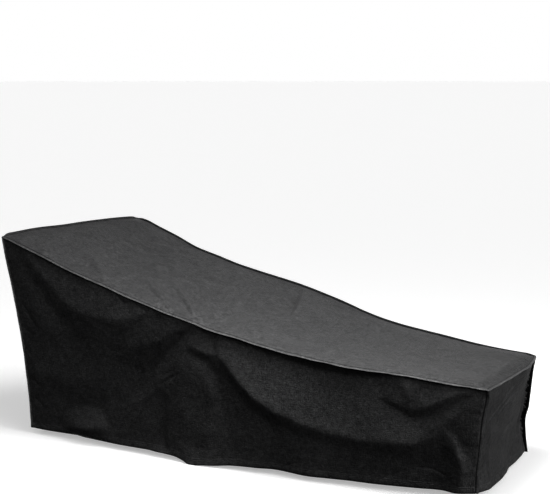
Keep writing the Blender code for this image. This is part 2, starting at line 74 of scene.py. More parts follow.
# Height of the two long top seams. s runs along them, 0 at the head and 1 at the foot.
TOP_SEAMS = (
    # s,    near_z, far_z
    (0.000, 0.831, 0.828),
    (0.030, 0.808, 0.814),
    (0.060, 0.785, 0.791),
    (0.117, 0.741, 0.749),
    (0.173, 0.699, 0.703),
    (0.229, 0.665, 0.673),
    (0.285, 0.626, 0.642),
    (0.336, 0.594, 0.620),
    (0.387, 0.564, 0.600),
    (0.440, 0.539, 0.579),
    (0.466, 0.522, 0.567),
    (0.517, 0.502, 0.540),
    (0.564, 0.482, 0.513),
    (0.615, 0.464, 0.480),
    (0.661, 0.451, 0.456),
    (0.708, 0.439, 0.438),
    (0.754, 0.431, 0.425),
    (0.800, 0.428, 0.413),
    (0.885, 0.421, 0.390),
    (0.927, 0.414, 0.382),
    (1.000, 0.405, 0.373),
)

# The seam over the head, t from the near corner to the far one.
HEAD_SEAM = (
    # t,   x,      z
    (0.00, -1.088, 0.831),
    (0.08, -1.078, 0.834),
    (0.25, -1.059, 0.839),
    (0.42, -1.039, 0.837),
    (0.60, -1.018, 0.839),
    (0.78, -0.996, 0.838),
    (0.93, -0.979, 0.834),
    (1.00, -0.972, 0.828),
)

# The seam over the foot.
FOOT_SEAM = (
    # t,   x,     z
    (0.00, 1.054, 0.405),
    (0.12, 1.051, 0.399),
    (0.24, 1.048, 0.392),
    (0.37, 1.047, 0.389),
    (0.51, 1.048, 0.387),
    (0.65, 1.049, 0.385),
    (0.78, 1.042, 0.386),
    (0.91, 1.025, 0.382),
    (1.00, 1.006, 0.373),
)

# The four upright seams, v from the top seam down to the hem.
UPRIGHTS_HEAD = (
    # v,   near_x, near_y, far_x,  far_y
    (0.00, -1.088, -0.414, -0.972, 0.424),
    (0.10, -1.074, -0.414, -0.962, 0.425),
    (0.25, -1.045, -0.412, -0.944, 0.424),
    (0.40, -1.021, -0.410, -0.930, 0.422),
    (0.55, -0.998, -0.409, -0.915, 0.420),
    (0.70, -0.982, -0.408, -0.900, 0.419),
    (0.85, -0.969, -0.407, -0.889, 0.416),
    (1.00, -0.963, -0.405, -0.880, 0.412),
)
UPRIGHTS_FOOT = (
    # v,   near_x, near_y, far_x, far_y
    (0.00, 1.054, -0.372, 1.006, 0.360),
    (0.13, 1.047, -0.368, 1.005, 0.333),
    (0.30, 1.033, -0.362, 1.005, 0.307),
    (0.49, 1.025, -0.357, 1.003, 0.292),
    (0.66, 1.018, -0.352, 0.992, 0.282),
    (0.80, 1.010, -0.346, 0.999, 0.268),
    (1.00, 1.008, -0.340, 1.014, 0.250),
)

# How far each hem runs across, s along the two sides, and how high the near one hangs.
SIDE_HEMS = (
    # s,    near_y, near_z, far_y
    (0.000, -0.405, 0.004, 0.412),
    (0.050, -0.410, 0.004, 0.420),
    (0.080, -0.409, 0.004, 0.424),
    (0.115, -0.408, 0.004, 0.431),
    (0.144, -0.419, 0.003, 0.437),
    (0.179, -0.426, 0.002, 0.442),
    (0.244, -0.434, 0.001, 0.438),
    (0.305, -0.435, 0.001, 0.446),
    (0.335, -0.444, -0.000, 0.456),
    (0.370, -0.446, -0.003, 0.467),
    (0.381, -0.448, -0.005, 0.469),
    (0.402, -0.457, -0.013, 0.473),
    (0.418, -0.465, -0.021, 0.474),
    (0.430, -0.465, -0.021, 0.472),
    (0.446, -0.462, -0.018, 0.468),
    (0.471, -0.455, -0.014, 0.458),
    (0.511, -0.443, -0.005, 0.446),
    (0.562, -0.436, -0.001, 0.441),
    (0.607, -0.422, 0.001, 0.446),
    (0.678, -0.432, -0.001, 0.452),
    (0.713, -0.425, 0.000, 0.447),
    (0.758, -0.414, 0.001, 0.431),
    (0.809, -0.406, 0.002, 0.410),
    (0.854, -0.394, 0.003, 0.388),
    (0.899, -0.379, 0.004, 0.360),
    (0.940, -0.366, 0.005, 0.325),
    (0.965, -0.374, 0.004, 0.296),
    (1.000, -0.340, 0.004, 0.250),
)

# How far the two end hems bow out past the straight line between their corners.
END_HEMS = (
    # t,   head_out, foot_out
    (0.00, 0.000, 0.000),
    (0.07, 0.006, 0.016),
    (0.13, 0.013, 0.027),
    (0.23, 0.021, 0.028),
    (0.34, 0.024, 0.029),
    (0.48, 0.018, 0.021),
    (0.61, 0.015, 0.009),
    (0.72, 0.022, 0.010),
    (0.86, 0.016, 0.006),
    (1.00, 0.000, 0.000),
)

# The near side's main folds. Each line is a ridge, a hollow or the edge of a flat part, with how far out the cloth
# stands there from the upright plane below its top seam. Between the lines the cloth runs straight, and its turns are
# rounded: 0 is a crisp fold and 1 a soft one.
NEAR_LINES = {
    # name: (soft, ((x, z, out), ...))
    "tuck": (0.25, (
        (-1.025, 0.802, 0.000), (-0.954, 0.771, -0.002), (-0.878, 0.741, -0.004), (-0.801, 0.714, -0.004),
        (-0.701, 0.680, -0.004), (-0.600, 0.654, -0.002), (-0.478, 0.615, -0.002), (-0.358, 0.580, -0.001),
        (-0.240, 0.550, 0.000), (-0.164, 0.534, 0.002), (-0.103, 0.517, -0.002), (-0.037, 0.499, -0.005),
        (0.050, 0.475, -0.009), (0.158, 0.448, -0.013), (0.265, 0.427, -0.016), (0.390, 0.406, -0.020),
        (0.514, 0.396, -0.020), (0.605, 0.402, -0.015), (0.672, 0.409, -0.009), (0.726, 0.413, -0.001),
        (0.767, 0.408, -0.006), (0.836, 0.404, -0.007), (0.913, 0.400, -0.006), (0.989, 0.398, -0.004),
        (1.034, 0.398, -0.002),)),
    "head_crest": (0.35, (
        (-0.977, 0.757, 0.002), (-0.917, 0.706, 0.008), (-0.851, 0.648, 0.014), (-0.787, 0.590, 0.019),
        (-0.735, 0.553, 0.022), (-0.623, 0.525, 0.025), (-0.511, 0.522, 0.024), (-0.417, 0.542, 0.018),
        (-0.366, 0.561, 0.009),)),
    "head_trough": (0.35, (
        (-1.002, 0.738, -0.001), (-0.951, 0.673, -0.001), (-0.889, 0.601, 0.001), (-0.821, 0.525, 0.004),
        (-0.740, 0.452, 0.006), (-0.659, 0.392, 0.007),)),
    "head_ridge": (0.6, (
        (-0.981, 0.628, 0.003), (-0.938, 0.555, 0.007), (-0.890, 0.490, 0.010), (-0.845, 0.434, 0.010),)),
    "under_crest": (1, (
        (-0.633, 0.446, 0.014), (-0.529, 0.435, 0.014),)),
    "head_flat": (1, (
        (-0.920, 0.374, 0.003), (-0.773, 0.359, 0.006), (-0.624, 0.349, 0.009), (-0.539, 0.349, 0.010),)),
    "low_ledge": (0.8, (
        (-0.931, 0.256, 0.008), (-0.792, 0.246, 0.012), (-0.638, 0.246, 0.014), (-0.508, 0.244, 0.014),)),
    "below_ledge": (0.8, (
        (-0.926, 0.186, 0.003), (-0.767, 0.183, 0.006), (-0.613, 0.184, 0.009), (-0.492, 0.186, 0.011),)),
    "swell_top": (0.4, (
        (-0.781, 0.111, 0.004), (-0.729, 0.126, 0.004), (-0.667, 0.138, 0.005), (-0.594, 0.139, 0.008),)),
    "swell_foot": (0.4, (
        (-0.777, 0.035, 0.012), (-0.709, 0.041, 0.041), (-0.638, 0.048, 0.050), (-0.586, 0.060, 0.040),
        (-0.545, 0.072, 0.023),)),
    "swag_valley": (0.3, (
        (-0.358, 0.557, 0.006), (-0.404, 0.521, 0.010), (-0.447, 0.468, 0.012), (-0.477, 0.419, 0.012),)),
    "kink_shelf": (0.2, (
        (-0.182, 0.517, 0.004), (-0.243, 0.497, 0.011), (-0.296, 0.458, 0.017), (-0.381, 0.429, 0.018),
        (-0.460, 0.396, 0.016),)),
    "kink_hollow": (0.2, (
        (-0.182, 0.498, -0.001), (-0.240, 0.444, -0.003), (-0.295, 0.385, -0.005), (-0.352, 0.321, -0.004),
        (-0.394, 0.258, 0.002), (-0.436, 0.225, 0.006),)),
    "hollow_back": (0.6, (
        (-0.481, 0.339, 0.009), (-0.479, 0.279, 0.006),)),
    "hollow_front": (0.5, (
        (-0.181, 0.471, 0.006), (-0.196, 0.426, 0.012), (-0.232, 0.374, 0.015), (-0.284, 0.307, 0.017),
        (-0.336, 0.244, 0.018), (-0.394, 0.195, 0.019),)),
    "pleat_back": (0.1, (
        (-0.274, 0.210, 0.019), (-0.281, 0.131, 0.022), (-0.278, 0.057, 0.027), (-0.266, 0.011, 0.036),)),
    "pleat_edge": (0.1, (
        (-0.251, 0.222, 0.026), (-0.255, 0.137, 0.033), (-0.252, 0.064, 0.038), (-0.238, 0.014, 0.047),)),
    "pleat_ridge": (0.3, (
        (-0.192, 0.371, 0.020), (-0.188, 0.300, 0.028), (-0.185, 0.228, 0.034), (-0.182, 0.148, 0.041),
        (-0.178, 0.068, 0.049), (-0.166, 0.011, 0.058),)),
    "fan_edge": (0.2, (
        (-0.178, 0.448, 0.011), (-0.133, 0.433, 0.017), (-0.087, 0.422, 0.019), (-0.057, 0.425, 0.016),)),
    "fan_groove": (0.15, (
        (-0.109, 0.512, -0.004), (-0.080, 0.479, -0.002), (-0.056, 0.442, 0.002),)),
    "fan_under": (0.3, (
        (-0.171, 0.420, 0.009), (-0.134, 0.403, 0.009), (-0.089, 0.392, 0.008),)),
    "long_ridge": (0.3, (
        (-0.153, 0.394, 0.015), (-0.113, 0.355, 0.022), (-0.078, 0.304, 0.028), (-0.053, 0.247, 0.032),
        (-0.042, 0.181, 0.036), (-0.030, 0.111, 0.041), (-0.019, 0.048, 0.046),)),
    "long_valley": (0.4, (
        (-0.089, 0.392, 0.008), (-0.047, 0.340, 0.010), (-0.022, 0.283, 0.016), (-0.002, 0.214, 0.025),
        (0.014, 0.136, 0.034), (0.036, 0.068, 0.043),)),
    "plane_edge": (0.25, (
        (-0.039, 0.442, 0.015), (-0.005, 0.400, 0.027), (0.068, 0.332, 0.048), (0.137, 0.279, 0.059),
        (0.182, 0.261, 0.062), (0.235, 0.232, 0.063), (0.294, 0.220, 0.061), (0.334, 0.203, 0.058),
        (0.393, 0.189, 0.054), (0.455, 0.178, 0.052), (0.514, 0.176, 0.050), (0.580, 0.166, 0.050),
        (0.640, 0.170, 0.049), (0.697, 0.173, 0.048), (0.740, 0.175, 0.046), (0.788, 0.177, 0.042),
        (0.821, 0.191, 0.037), (0.861, 0.210, 0.031), (0.900, 0.228, 0.025),)),
    "plane_under": (0.5, (
        (0.002, 0.351, 0.017), (0.071, 0.281, 0.029), (0.137, 0.227, 0.038), (0.217, 0.187, 0.042),
        (0.321, 0.157, 0.043), (0.441, 0.133, 0.041), (0.567, 0.123, 0.039), (0.682, 0.130, 0.036),
        (0.785, 0.139, 0.028), (0.843, 0.163, 0.020), (0.890, 0.187, 0.014),)),
    "swag_ridge": (0.2, (
        (0.632, 0.342, 0.009), (0.678, 0.329, 0.013), (0.723, 0.313, 0.017), (0.760, 0.303, 0.020),
        (0.799, 0.304, 0.022), (0.841, 0.321, 0.022), (0.882, 0.344, 0.020), (0.936, 0.375, 0.015),
        (0.975, 0.393, 0.010), (1.010, 0.399, 0.005),)),
    "swag_valley_foot": (0.2, (
        (0.641, 0.324, 0.009), (0.684, 0.308, 0.009), (0.728, 0.289, 0.010), (0.760, 0.274, 0.011),
        (0.799, 0.272, 0.011), (0.845, 0.288, 0.010), (0.886, 0.312, 0.009), (0.941, 0.344, 0.007),
        (0.981, 0.363, 0.005), (1.017, 0.377, 0.002),)),
    "swag_below": (0.4, (
        (0.852, 0.237, 0.027), (0.911, 0.270, 0.024), (0.947, 0.296, 0.021), (0.989, 0.328, 0.015),
        (1.027, 0.351, 0.008),)),
    "corner_valley": (0.2, (
        (0.920, 0.239, 0.015), (0.945, 0.245, 0.011), (0.981, 0.260, 0.008), (1.009, 0.278, 0.005),
        (1.030, 0.313, 0.002),)),
    "corner_low": (0.6, (
        (0.982, 0.228, 0.009), (1.017, 0.245, 0.002),)),
    "bump": (0.4, (
        (0.728, 0.408, 0.003), (0.744, 0.386, 0.013), (0.758, 0.354, 0.017),)),
    "bump_back": (0.4, (
        (0.705, 0.387, 0.004), (0.722, 0.367, 0.007), (0.736, 0.339, 0.012),)),
    "bump_front": (0.4, (
        (0.756, 0.400, 0.004), (0.774, 0.373, 0.010), (0.788, 0.343, 0.016),)),
    "upright_ridge": (0.15, (
        (0.928, 0.230, 0.016), (0.945, 0.179, 0.018), (0.960, 0.135, 0.015), (0.965, 0.097, 0.008),)),
    "upright_valley": (0.15, (
        (0.941, 0.233, 0.009), (0.959, 0.183, 0.001), (0.977, 0.136, -0.004), (0.985, 0.101, -0.008),)),
    "low_valley": (0.5, (
        (0.580, 0.049, 0.030), (0.638, 0.036, 0.024), (0.688, 0.050, 0.020), (0.741, 0.072, 0.015),
        (0.797, 0.089, 0.008), (0.845, 0.114, 0.003), (0.898, 0.132, 0.000),)),
    "tent_swell": (0.4, (
        (-0.113, 0.110, 0.049), (-0.075, 0.107, 0.051), (-0.040, 0.119, 0.048),)),
    "tent_over": (0.5, (
        (-0.125, 0.219, 0.034), (-0.084, 0.231, 0.033),)),
    "tent_under": (0.4, (
        (-0.126, 0.043, 0.051), (-0.071, 0.046, 0.051),)),
}

# How the far side stands off the straight line between its top seam and its hem, outwards in metres.
FAR_SWAGS = (
    # s,    tuck,    ledge_v, ledge,  under_v, under,   low_v, low
    (0.000, 0.000, 0.20, 0.000, 0.40, 0.000, 0.70, 0.000),
    (0.080, -0.002, 0.15, 0.012, 0.32, -0.006, 0.66, 0.002),
    (0.180, -0.003, 0.19, 0.026, 0.36, -0.006, 0.66, 0.004),
    (0.280, -0.004, 0.17, 0.024, 0.34, -0.012, 0.64, -0.004),
    (0.370, -0.004, 0.12, 0.008, 0.32, -0.014, 0.62, 0.006),
    (0.440, -0.003, 0.14, 0.010, 0.36, 0.008, 0.64, 0.012),
    (0.520, -0.005, 0.24, 0.018, 0.42, -0.003, 0.68, -0.006),
    (0.620, -0.010, 0.38, 0.026, 0.56, -0.004, 0.76, -0.010),
    (0.730, -0.013, 0.46, 0.028, 0.63, -0.002, 0.82, -0.008),
    (0.830, -0.010, 0.48, 0.024, 0.66, -0.002, 0.84, -0.006),
    (0.920, -0.006, 0.38, 0.013, 0.56, -0.006, 0.80, -0.006),
    (1.000, 0.000, 0.30, 0.000, 0.50, 0.000, 0.75, 0.000),
)

# How the top panel sags or crowns across its middle, upwards in metres.
TOP_SAG = (
    # s,   near_third, middle, far_third
    (0.00, 0.000, 0.000, 0.000),
    (0.08, -0.004, -0.007, -0.002),
    (0.20, -0.010, -0.014, -0.008),
    (0.32, -0.013, -0.018, -0.012),
    (0.42, -0.006, -0.013, -0.012),
    (0.52, -0.002, -0.008, -0.008),
    (0.64, -0.003, -0.008, -0.006),
    (0.76, -0.004, -0.009, -0.006),
    (0.88, -0.005, -0.008, -0.003),
    (1.00, 0.000, 0.000, 0.000),
)

# How far the top panel rounds over before its near seam, s along it, and before its foot seam, t across.
TOP_ROLL = (
    # s,   rise
    (0.00, 0.006),
    (0.04, 0.010),
    (0.09, 0.010),
    (0.13, 0.006),
    (0.22, 0.004),
    (0.34, 0.006),
    (0.42, 0.003),
    (0.55, 0.006),
    (0.70, 0.006),
    (0.84, 0.004),
    (1.00, 0.007),
)
TOP_ROLL_FOOT = (
    # t,   rise
    (0.00, 0.008),
    (0.30, 0.012),
    (0.60, 0.015),
    (1.00, 0.008),
)

# How the end panels bow out, outwards in metres.
FOOT_BOW = (
    # v,   near_third, middle, far_third
    (0.00, 0.000, 0.000, 0.000),
    (0.15, 0.002, 0.002, 0.000),
    (0.35, 0.002, 0.001, -0.009),
    (0.60, 0.000, -0.001, -0.010),
    (0.82, 0.000, 0.000, -0.004),
    (1.00, 0.000, 0.000, 0.000),
)
HEAD_BOW = (
    # v,   near_third, middle, far_third
    (0.00, 0.000, 0.000, 0.000),
    (0.12, -0.006, -0.009, -0.005),
    (0.30, -0.008, -0.014, -0.009),
    (0.55, 0.002, -0.006, -0.004),
    (0.80, 0.006, 0.004, 0.003),
    (1.00, 0.000, 0.000, 0.000),
)

# Single folds. Each runs from its start to its end on its panel, bowed sideways at its middle, and falls off to either
# side over its width. Lift is outwards: a ridge is positive and a trough is negative.
FAR_FOLDS = (
    # x0,    z0,    x1,    z1,    bow,    width, lift
    (-0.90, 0.76, -0.72, 0.52, 0.012, 0.034, -0.010),
    (-0.72, 0.52, -0.62, 0.26, 0.012, 0.040, -0.007),
    (-0.10, 0.55, -0.28, 0.28, 0.012, 0.034, 0.012),
    (-0.08, 0.54, -0.06, 0.06, 0.010, 0.036, 0.010),
    (0.00, 0.50, 0.14, 0.16, -0.016, 0.034, -0.009),
    (0.60, 0.38, 0.78, 0.30, 0.014, 0.026, -0.008),
    (0.78, 0.30, 0.96, 0.35, 0.012, 0.026, -0.009),
    (0.90, 0.22, 0.95, 0.07, 0.000, 0.026, -0.008),
)
TOP_FOLDS = (
    # x0,    y0,    x1,    y1,    bow,    width, lift
    (-0.98, 0.26, -0.64, 0.13, 0.010, 0.070, -0.014),    # hollow under the far head corner
    (-0.84, -0.14, -0.60, -0.36, 0.010, 0.040, 0.006),   # soft ridges running down to the near seam
    (-0.56, -0.15, -0.28, -0.37, 0.010, 0.034, 0.006),
    (-0.46, -0.08, -0.19, -0.33, 0.014, 0.034, 0.005),
    (-0.44, 0.10, -0.28, 0.01, 0.000, 0.040, -0.006),    # trough past them
    (-0.20, 0.42, 0.05, 0.02, 0.010, 0.060, -0.008),     # crossing fold over the seat
    (0.08, 0.36, 0.26, 0.28, 0.000, 0.050, -0.006),
    (0.66, 0.32, 0.92, 0.10, 0.000, 0.090, -0.008),      # hollow over the foot rest
)
FOOT_FOLDS = (
    # y0,    z0,    y1,   z1,    bow,   width, lift
    (-0.22, 0.34, 0.04, 0.27, 0.010, 0.022, 0.004),
    (-0.26, 0.26, -0.05, 0.20, 0.006, 0.024, -0.004),
    (0.24, 0.34, 0.16, 0.12, 0.010, 0.026, -0.006),
)
HEAD_FOLDS = (
    # y0,    z0,    y1,    z1,    bow,    width, lift
    (-0.34, 0.78, -0.16, 0.52, 0.012, 0.036, -0.009),
    (0.33, 0.78, 0.14, 0.50, -0.012, 0.036, -0.008),
    (-0.10, 0.62, -0.14, 0.10, 0.010, 0.040, 0.008),
    (0.16, 0.48, 0.20, 0.06, 0.000, 0.040, 0.007),
)

# Finer creases, each a smooth line through its rows. left and right are how far it falls off to either side of the
# way it runs, and crisp is 0 for a soft fold and 1 for a sharp one.
NEAR_CREASES = {
    "short_diagonal": (
        # x,     z,    lift,   left,  right, crisp
        (-0.320, 0.262, 0.0000, 0.006, 0.007, 0.8),
        (-0.270, 0.295, -0.0040, 0.007, 0.008, 0.8),
        (-0.225, 0.322, -0.0030, 0.006, 0.007, 0.8),
        (-0.195, 0.335, 0.0000, 0.006, 0.006, 0.8),
    ),
    "short_diagonal_above": (
        (-0.310, 0.300, 0.0000, 0.005, 0.006, 0.8),
        (-0.270, 0.325, -0.0025, 0.006, 0.006, 0.8),
        (-0.220, 0.345, 0.0000, 0.005, 0.006, 0.8),
    ),
    "pucker_high": (
        (-1.005, 0.555, 0.0000, 0.006, 0.010, 0.7),
        (-0.985, 0.530, -0.0050, 0.008, 0.012, 0.7),
        (-0.950, 0.485, -0.0040, 0.010, 0.016, 0.5),
        (-0.900, 0.430, 0.0000, 0.014, 0.020, 0.4),
    ),
    "pucker_mid": (
        (-0.992, 0.440, 0.0000, 0.005, 0.006, 0.7),
        (-0.970, 0.428, -0.0025, 0.006, 0.008, 0.7),
        (-0.930, 0.405, 0.0000, 0.006, 0.010, 0.5),
    ),
    "pucker_low": (
        (-0.965, 0.232, 0.0000, 0.005, 0.007, 0.8),
        (-0.940, 0.215, -0.0040, 0.007, 0.009, 0.8),
        (-0.895, 0.180, 0.0000, 0.008, 0.012, 0.6),
    ),
    "pucker_lower": (
        (-0.960, 0.150, 0.0000, 0.005, 0.006, 0.8),
        (-0.935, 0.133, -0.0035, 0.006, 0.008, 0.8),
        (-0.880, 0.090, 0.0000, 0.007, 0.010, 0.6),
    ),
    "seam_bracket_a": (
        (-0.660, 0.668, 0.0000, 0.004, 0.005, 0.9),
        (-0.620, 0.655, -0.0030, 0.005, 0.006, 0.9),
        (-0.555, 0.643, -0.0035, 0.005, 0.006, 0.9),
        (-0.530, 0.652, 0.0000, 0.004, 0.004, 0.9),
    ),
    "seam_bracket_b": (
        (-0.550, 0.635, 0.0000, 0.004, 0.005, 0.9),
        (-0.510, 0.612, -0.0030, 0.005, 0.006, 0.9),
        (-0.468, 0.590, -0.0030, 0.005, 0.006, 0.9),
        (-0.435, 0.605, 0.0000, 0.004, 0.004, 0.9),
    ),
    "seam_bracket_c": (
        (-0.445, 0.600, 0.0000, 0.004, 0.005, 0.9),
        (-0.415, 0.585, -0.0030, 0.005, 0.006, 0.9),
        (-0.380, 0.570, -0.0020, 0.005, 0.006, 0.9),
        (-0.355, 0.565, 0.0000, 0.004, 0.005, 0.9),
    ),
    "low_bow": (
        (0.800, 0.085, 0.0000, 0.005, 0.006, 0.8),
        (0.850, 0.084, -0.0025, 0.006, 0.007, 0.8),
        (0.890, 0.070, -0.0025, 0.006, 0.007, 0.8),
        (0.925, 0.045, 0.0000, 0.005, 0.006, 0.8),
    ),
    "low_bow_head_side": (
        (0.640, 0.015, 0.0000, 0.006, 0.006, 0.6),
        (0.700, 0.045, -0.0025, 0.007, 0.008, 0.7),
        (0.770, 0.075, 0.0000, 0.006, 0.008, 0.6),
    ),
    "faint_upright": (
        (0.530, 0.390, 0.0000, 0.008, 0.008, 0.6),
        (0.540, 0.330, -0.0018, 0.010, 0.010, 0.6),
        (0.545, 0.250, -0.0018, 0.010, 0.010, 0.6),
        (0.540, 0.190, 0.0000, 0.008, 0.008, 0.6),
    ),
    "hem_crease": (
        (0.245, 0.010, 0.0000, 0.005, 0.006, 0.7),
        (0.300, 0.035, -0.0025, 0.006, 0.008, 0.7),
        (0.360, 0.055, 0.0000, 0.006, 0.008, 0.6),
    ),
}

TOP_CREASES = {
    "fan_a": (
        # x,    y,     lift,   left,  right, crisp
        (-0.830, -0.170, 0.0000, 0.030, 0.022, 0.4),
        (-0.760, -0.230, 0.0060, 0.030, 0.020, 0.4),
        (-0.680, -0.300, 0.0095, 0.026, 0.016, 0.5),
        (-0.600, -0.372, 0.0050, 0.018, 0.011, 0.6),
        (-0.575, -0.395, 0.0000, 0.010, 0.008, 0.6),
    ),
    "fan_b": (
        (-0.560, -0.140, 0.0000, 0.022, 0.016, 0.5),
        (-0.480, -0.210, 0.0083, 0.022, 0.014, 0.6),
        (-0.379, -0.293, 0.0128, 0.020, 0.013, 0.6),
        (-0.290, -0.365, 0.0060, 0.014, 0.010, 0.6),
        (-0.260, -0.392, 0.0000, 0.008, 0.008, 0.6),
    ),
    "fan_c": (
        (-0.450, -0.080, 0.0000, 0.020, 0.012, 0.5),
        (-0.386, -0.142, 0.0088, 0.020, 0.012, 0.6),
        (-0.286, -0.241, 0.0136, 0.020, 0.012, 0.7),
        (-0.200, -0.325, 0.0072, 0.014, 0.009, 0.7),
        (-0.172, -0.360, 0.0000, 0.008, 0.006, 0.7),
    ),
    "fan_d": (
        (-0.330, -0.040, 0.0000, 0.016, 0.012, 0.5),
        (-0.280, -0.100, 0.0053, 0.016, 0.012, 0.6),
        (-0.230, -0.160, 0.0045, 0.014, 0.010, 0.6),
        (-0.190, -0.220, 0.0000, 0.010, 0.008, 0.6),
    ),
    "high_crease": (
        (-0.870, 0.010, 0.0000, 0.012, 0.010, 0.6),
        (-0.800, -0.020, 0.0035, 0.012, 0.010, 0.7),
        (-0.730, -0.050, 0.0000, 0.010, 0.008, 0.6),
    ),
    "crossing": (
        (-0.080, 0.400, 0.0000, 0.012, 0.034, 0.3),
        (-0.040, 0.300, -0.0121, 0.012, 0.044, 0.3),
        (0.010, 0.160, -0.0121, 0.012, 0.044, 0.3),
        (0.075, -0.020, 0.0000, 0.010, 0.030, 0.3),
    ),
    "seat_a": (
        (0.040, 0.050, 0.0000, 0.014, 0.012, 0.4),
        (0.110, 0.000, -0.0030, 0.016, 0.012, 0.5),
        (0.180, -0.020, 0.0000, 0.014, 0.012, 0.4),
    ),
    "seat_b": (
        (0.230, -0.120, 0.0000, 0.018, 0.012, 0.4),
        (0.275, -0.083, -0.0042, 0.022, 0.014, 0.5),
        (0.311, 0.030, -0.0048, 0.024, 0.014, 0.5),
        (0.337, 0.153, -0.0030, 0.020, 0.014, 0.4),
        (0.360, 0.250, 0.0000, 0.014, 0.012, 0.4),
    ),
    "far_diagonal": (
        (0.080, 0.410, 0.0000, 0.018, 0.014, 0.5),
        (0.150, 0.350, -0.0070, 0.020, 0.014, 0.6),
        (0.250, 0.280, 0.0000, 0.016, 0.012, 0.5),
    ),
    "foot_ridge": (
        (0.600, -0.030, 0.0000, 0.010, 0.014, 0.6),
        (0.660, -0.056, 0.0040, 0.012, 0.016, 0.7),
        (0.744, -0.073, 0.0045, 0.012, 0.016, 0.7),
        (0.840, -0.100, 0.0000, 0.010, 0.014, 0.6),
    ),
    "edge_ridge": (
        (0.985, 0.230, 0.0000, 0.008, 0.008, 0.6),
        (0.990, 0.130, 0.0015, 0.012, 0.012, 0.4),
        (1.000, -0.020, 0.0012, 0.012, 0.012, 0.4),
        (1.005, -0.120, 0.0000, 0.008, 0.008, 0.6),
    ),
}

FOOT_CREASES = {
    "fine_a": (
        # y,     z,     lift,   left,  right, crisp
        (-0.270, 0.268, 0.0000, 0.005, 0.006, 0.8),
        (-0.210, 0.300, 0.0044, 0.006, 0.007, 0.8),
        (-0.070, 0.335, 0.0044, 0.006, 0.007, 0.8),
        (0.000, 0.350, 0.0000, 0.005, 0.006, 0.8),
    ),
    "fine_b": (
        (-0.210, 0.262, 0.0000, 0.005, 0.006, 0.8),
        (-0.150, 0.292, 0.0048, 0.006, 0.007, 0.8),
        (0.010, 0.318, 0.0040, 0.006, 0.007, 0.8),
        (0.080, 0.330, 0.0000, 0.005, 0.006, 0.8),
    ),
    "fine_c": (
        (-0.310, 0.262, 0.0000, 0.004, 0.005, 0.8),
        (-0.270, 0.282, 0.0040, 0.005, 0.006, 0.8),
        (-0.215, 0.296, 0.0000, 0.004, 0.005, 0.8),
    ),
    "fine_d": (
        (-0.180, 0.150, 0.0000, 0.006, 0.007, 0.8),
        (-0.120, 0.172, 0.0048, 0.006, 0.008, 0.8),
        (0.000, 0.190, 0.0044, 0.006, 0.008, 0.8),
        (0.060, 0.205, 0.0000, 0.005, 0.006, 0.8),
    ),
    "hem_fold": (
        (-0.220, 0.040, 0.0000, 0.005, 0.006, 0.7),
        (-0.120, 0.034, -0.0044, 0.006, 0.007, 0.7),
        (-0.020, 0.034, 0.0000, 0.005, 0.006, 0.7),
    ),
}

# The furrow beside the foot end's far upright seam, from the ground up.
FOOT_FURROW = (
    # z,    depth, width, teeth
    (0.000, 0.002, 0.060, 0.3),
    (0.040, 0.005, 0.070, 0.6),
    (0.080, 0.010, 0.080, 0.9),
    (0.120, 0.013, 0.085, 1.0),
    (0.190, 0.013, 0.085, 1.0),
    (0.260, 0.012, 0.085, 1.0),
    (0.320, 0.009, 0.075, 0.9),
    (0.350, 0.005, 0.065, 0.5),
    (0.380, 0.002, 0.060, 0.2),
)

# Small folds drawn up by the seam threads: how many each metre, how long, how wide and how deep they run.
PUCKERS = {
    # panel:      seed, along_top, at_head, at_foot, longest, deepest
    "side_near": (11, 26, 34, 30, 0.070, 0.0024),
    "side_far": (12, 28, 30, 34, 0.070, 0.0018),
    "top_panel": (13, 24, 20, 24, 0.060, 0.0018),
    "foot_end": (14, 26, 30, 60, 0.060, 0.0024),
    "head_end": (15, 24, 30, 30, 0.070, 0.0016),
}

# Painted light and shade on each turned edge, at its root and at its tip, with 1 for the cloth: a painted highlight
# where it stands out to the front, and painted shade where it is drawn up or stands against the light.
SEAM_PAINTED_LIGHT = {
    "near_top": (1.05, 1.70),
    "far_top": (0.50, 0.35),
    "head_top": (0.60, 0.40),
    "foot_top": (1.15, 1.80),
    "head_near": (1.30, 2.80),
    "head_far": (1.00, 1.00),
    "foot_near": (1.00, 1.50),
    "foot_far": (0.30, 0.25),
}

# Which way the turned edge of each seam stands, at its stitching and at its free edge.
FLANGE_WAY = {
    "near_top": ((0.00, -0.96, -0.16), (0.00, -0.90, -0.44)),
    "far_top": ((0.00, 0.60, 0.80), (0.00, -0.25, 0.97)),
    "head_top": ((-0.60, 0.00, 0.80), (0.20, 0.00, 0.98)),
    "foot_top": ((0.98, 0.00, 0.10), (0.90, 0.00, -0.42)),
    "head_near": ((-0.97, -0.10, 0.00), (-0.80, -0.60, 0.00)),
    "head_far": ((-0.71, 0.71, 0.00), (-0.71, 0.71, 0.00)),
    "foot_near": ((0.88, 0.40, 0.00), (0.82, 0.56, 0.00)),
    "foot_far": ((1.00, 0.05, 0.00), (1.00, -0.15, 0.00)),
}

# How finely the cloth is divided: this many steps in all, and these distances in metres next to each edge.
STEPS_ALONG = 470
STEPS_ACROSS = 150
STEPS_DOWN = 150
AT_SEAM = (0.0, 0.0028, 0.0060, 0.0100, 0.0150, 0.0210)
AT_HEM = (0.0, 0.0012, 0.0045, 0.0090, 0.0140, 0.0178, 0.0196, 0.0208, 0.0220, 0.0238, 0.0250, 0.0262, 0.0290, 0.0330)
RINGS = (0.0, 0.0022, 0.0046, 0.0064, 0.0078, 0.0094, 0.0110)     # rows out over the turned edge; one lies on its stitching

# ---------------------------------------------------------------- curves and sheets


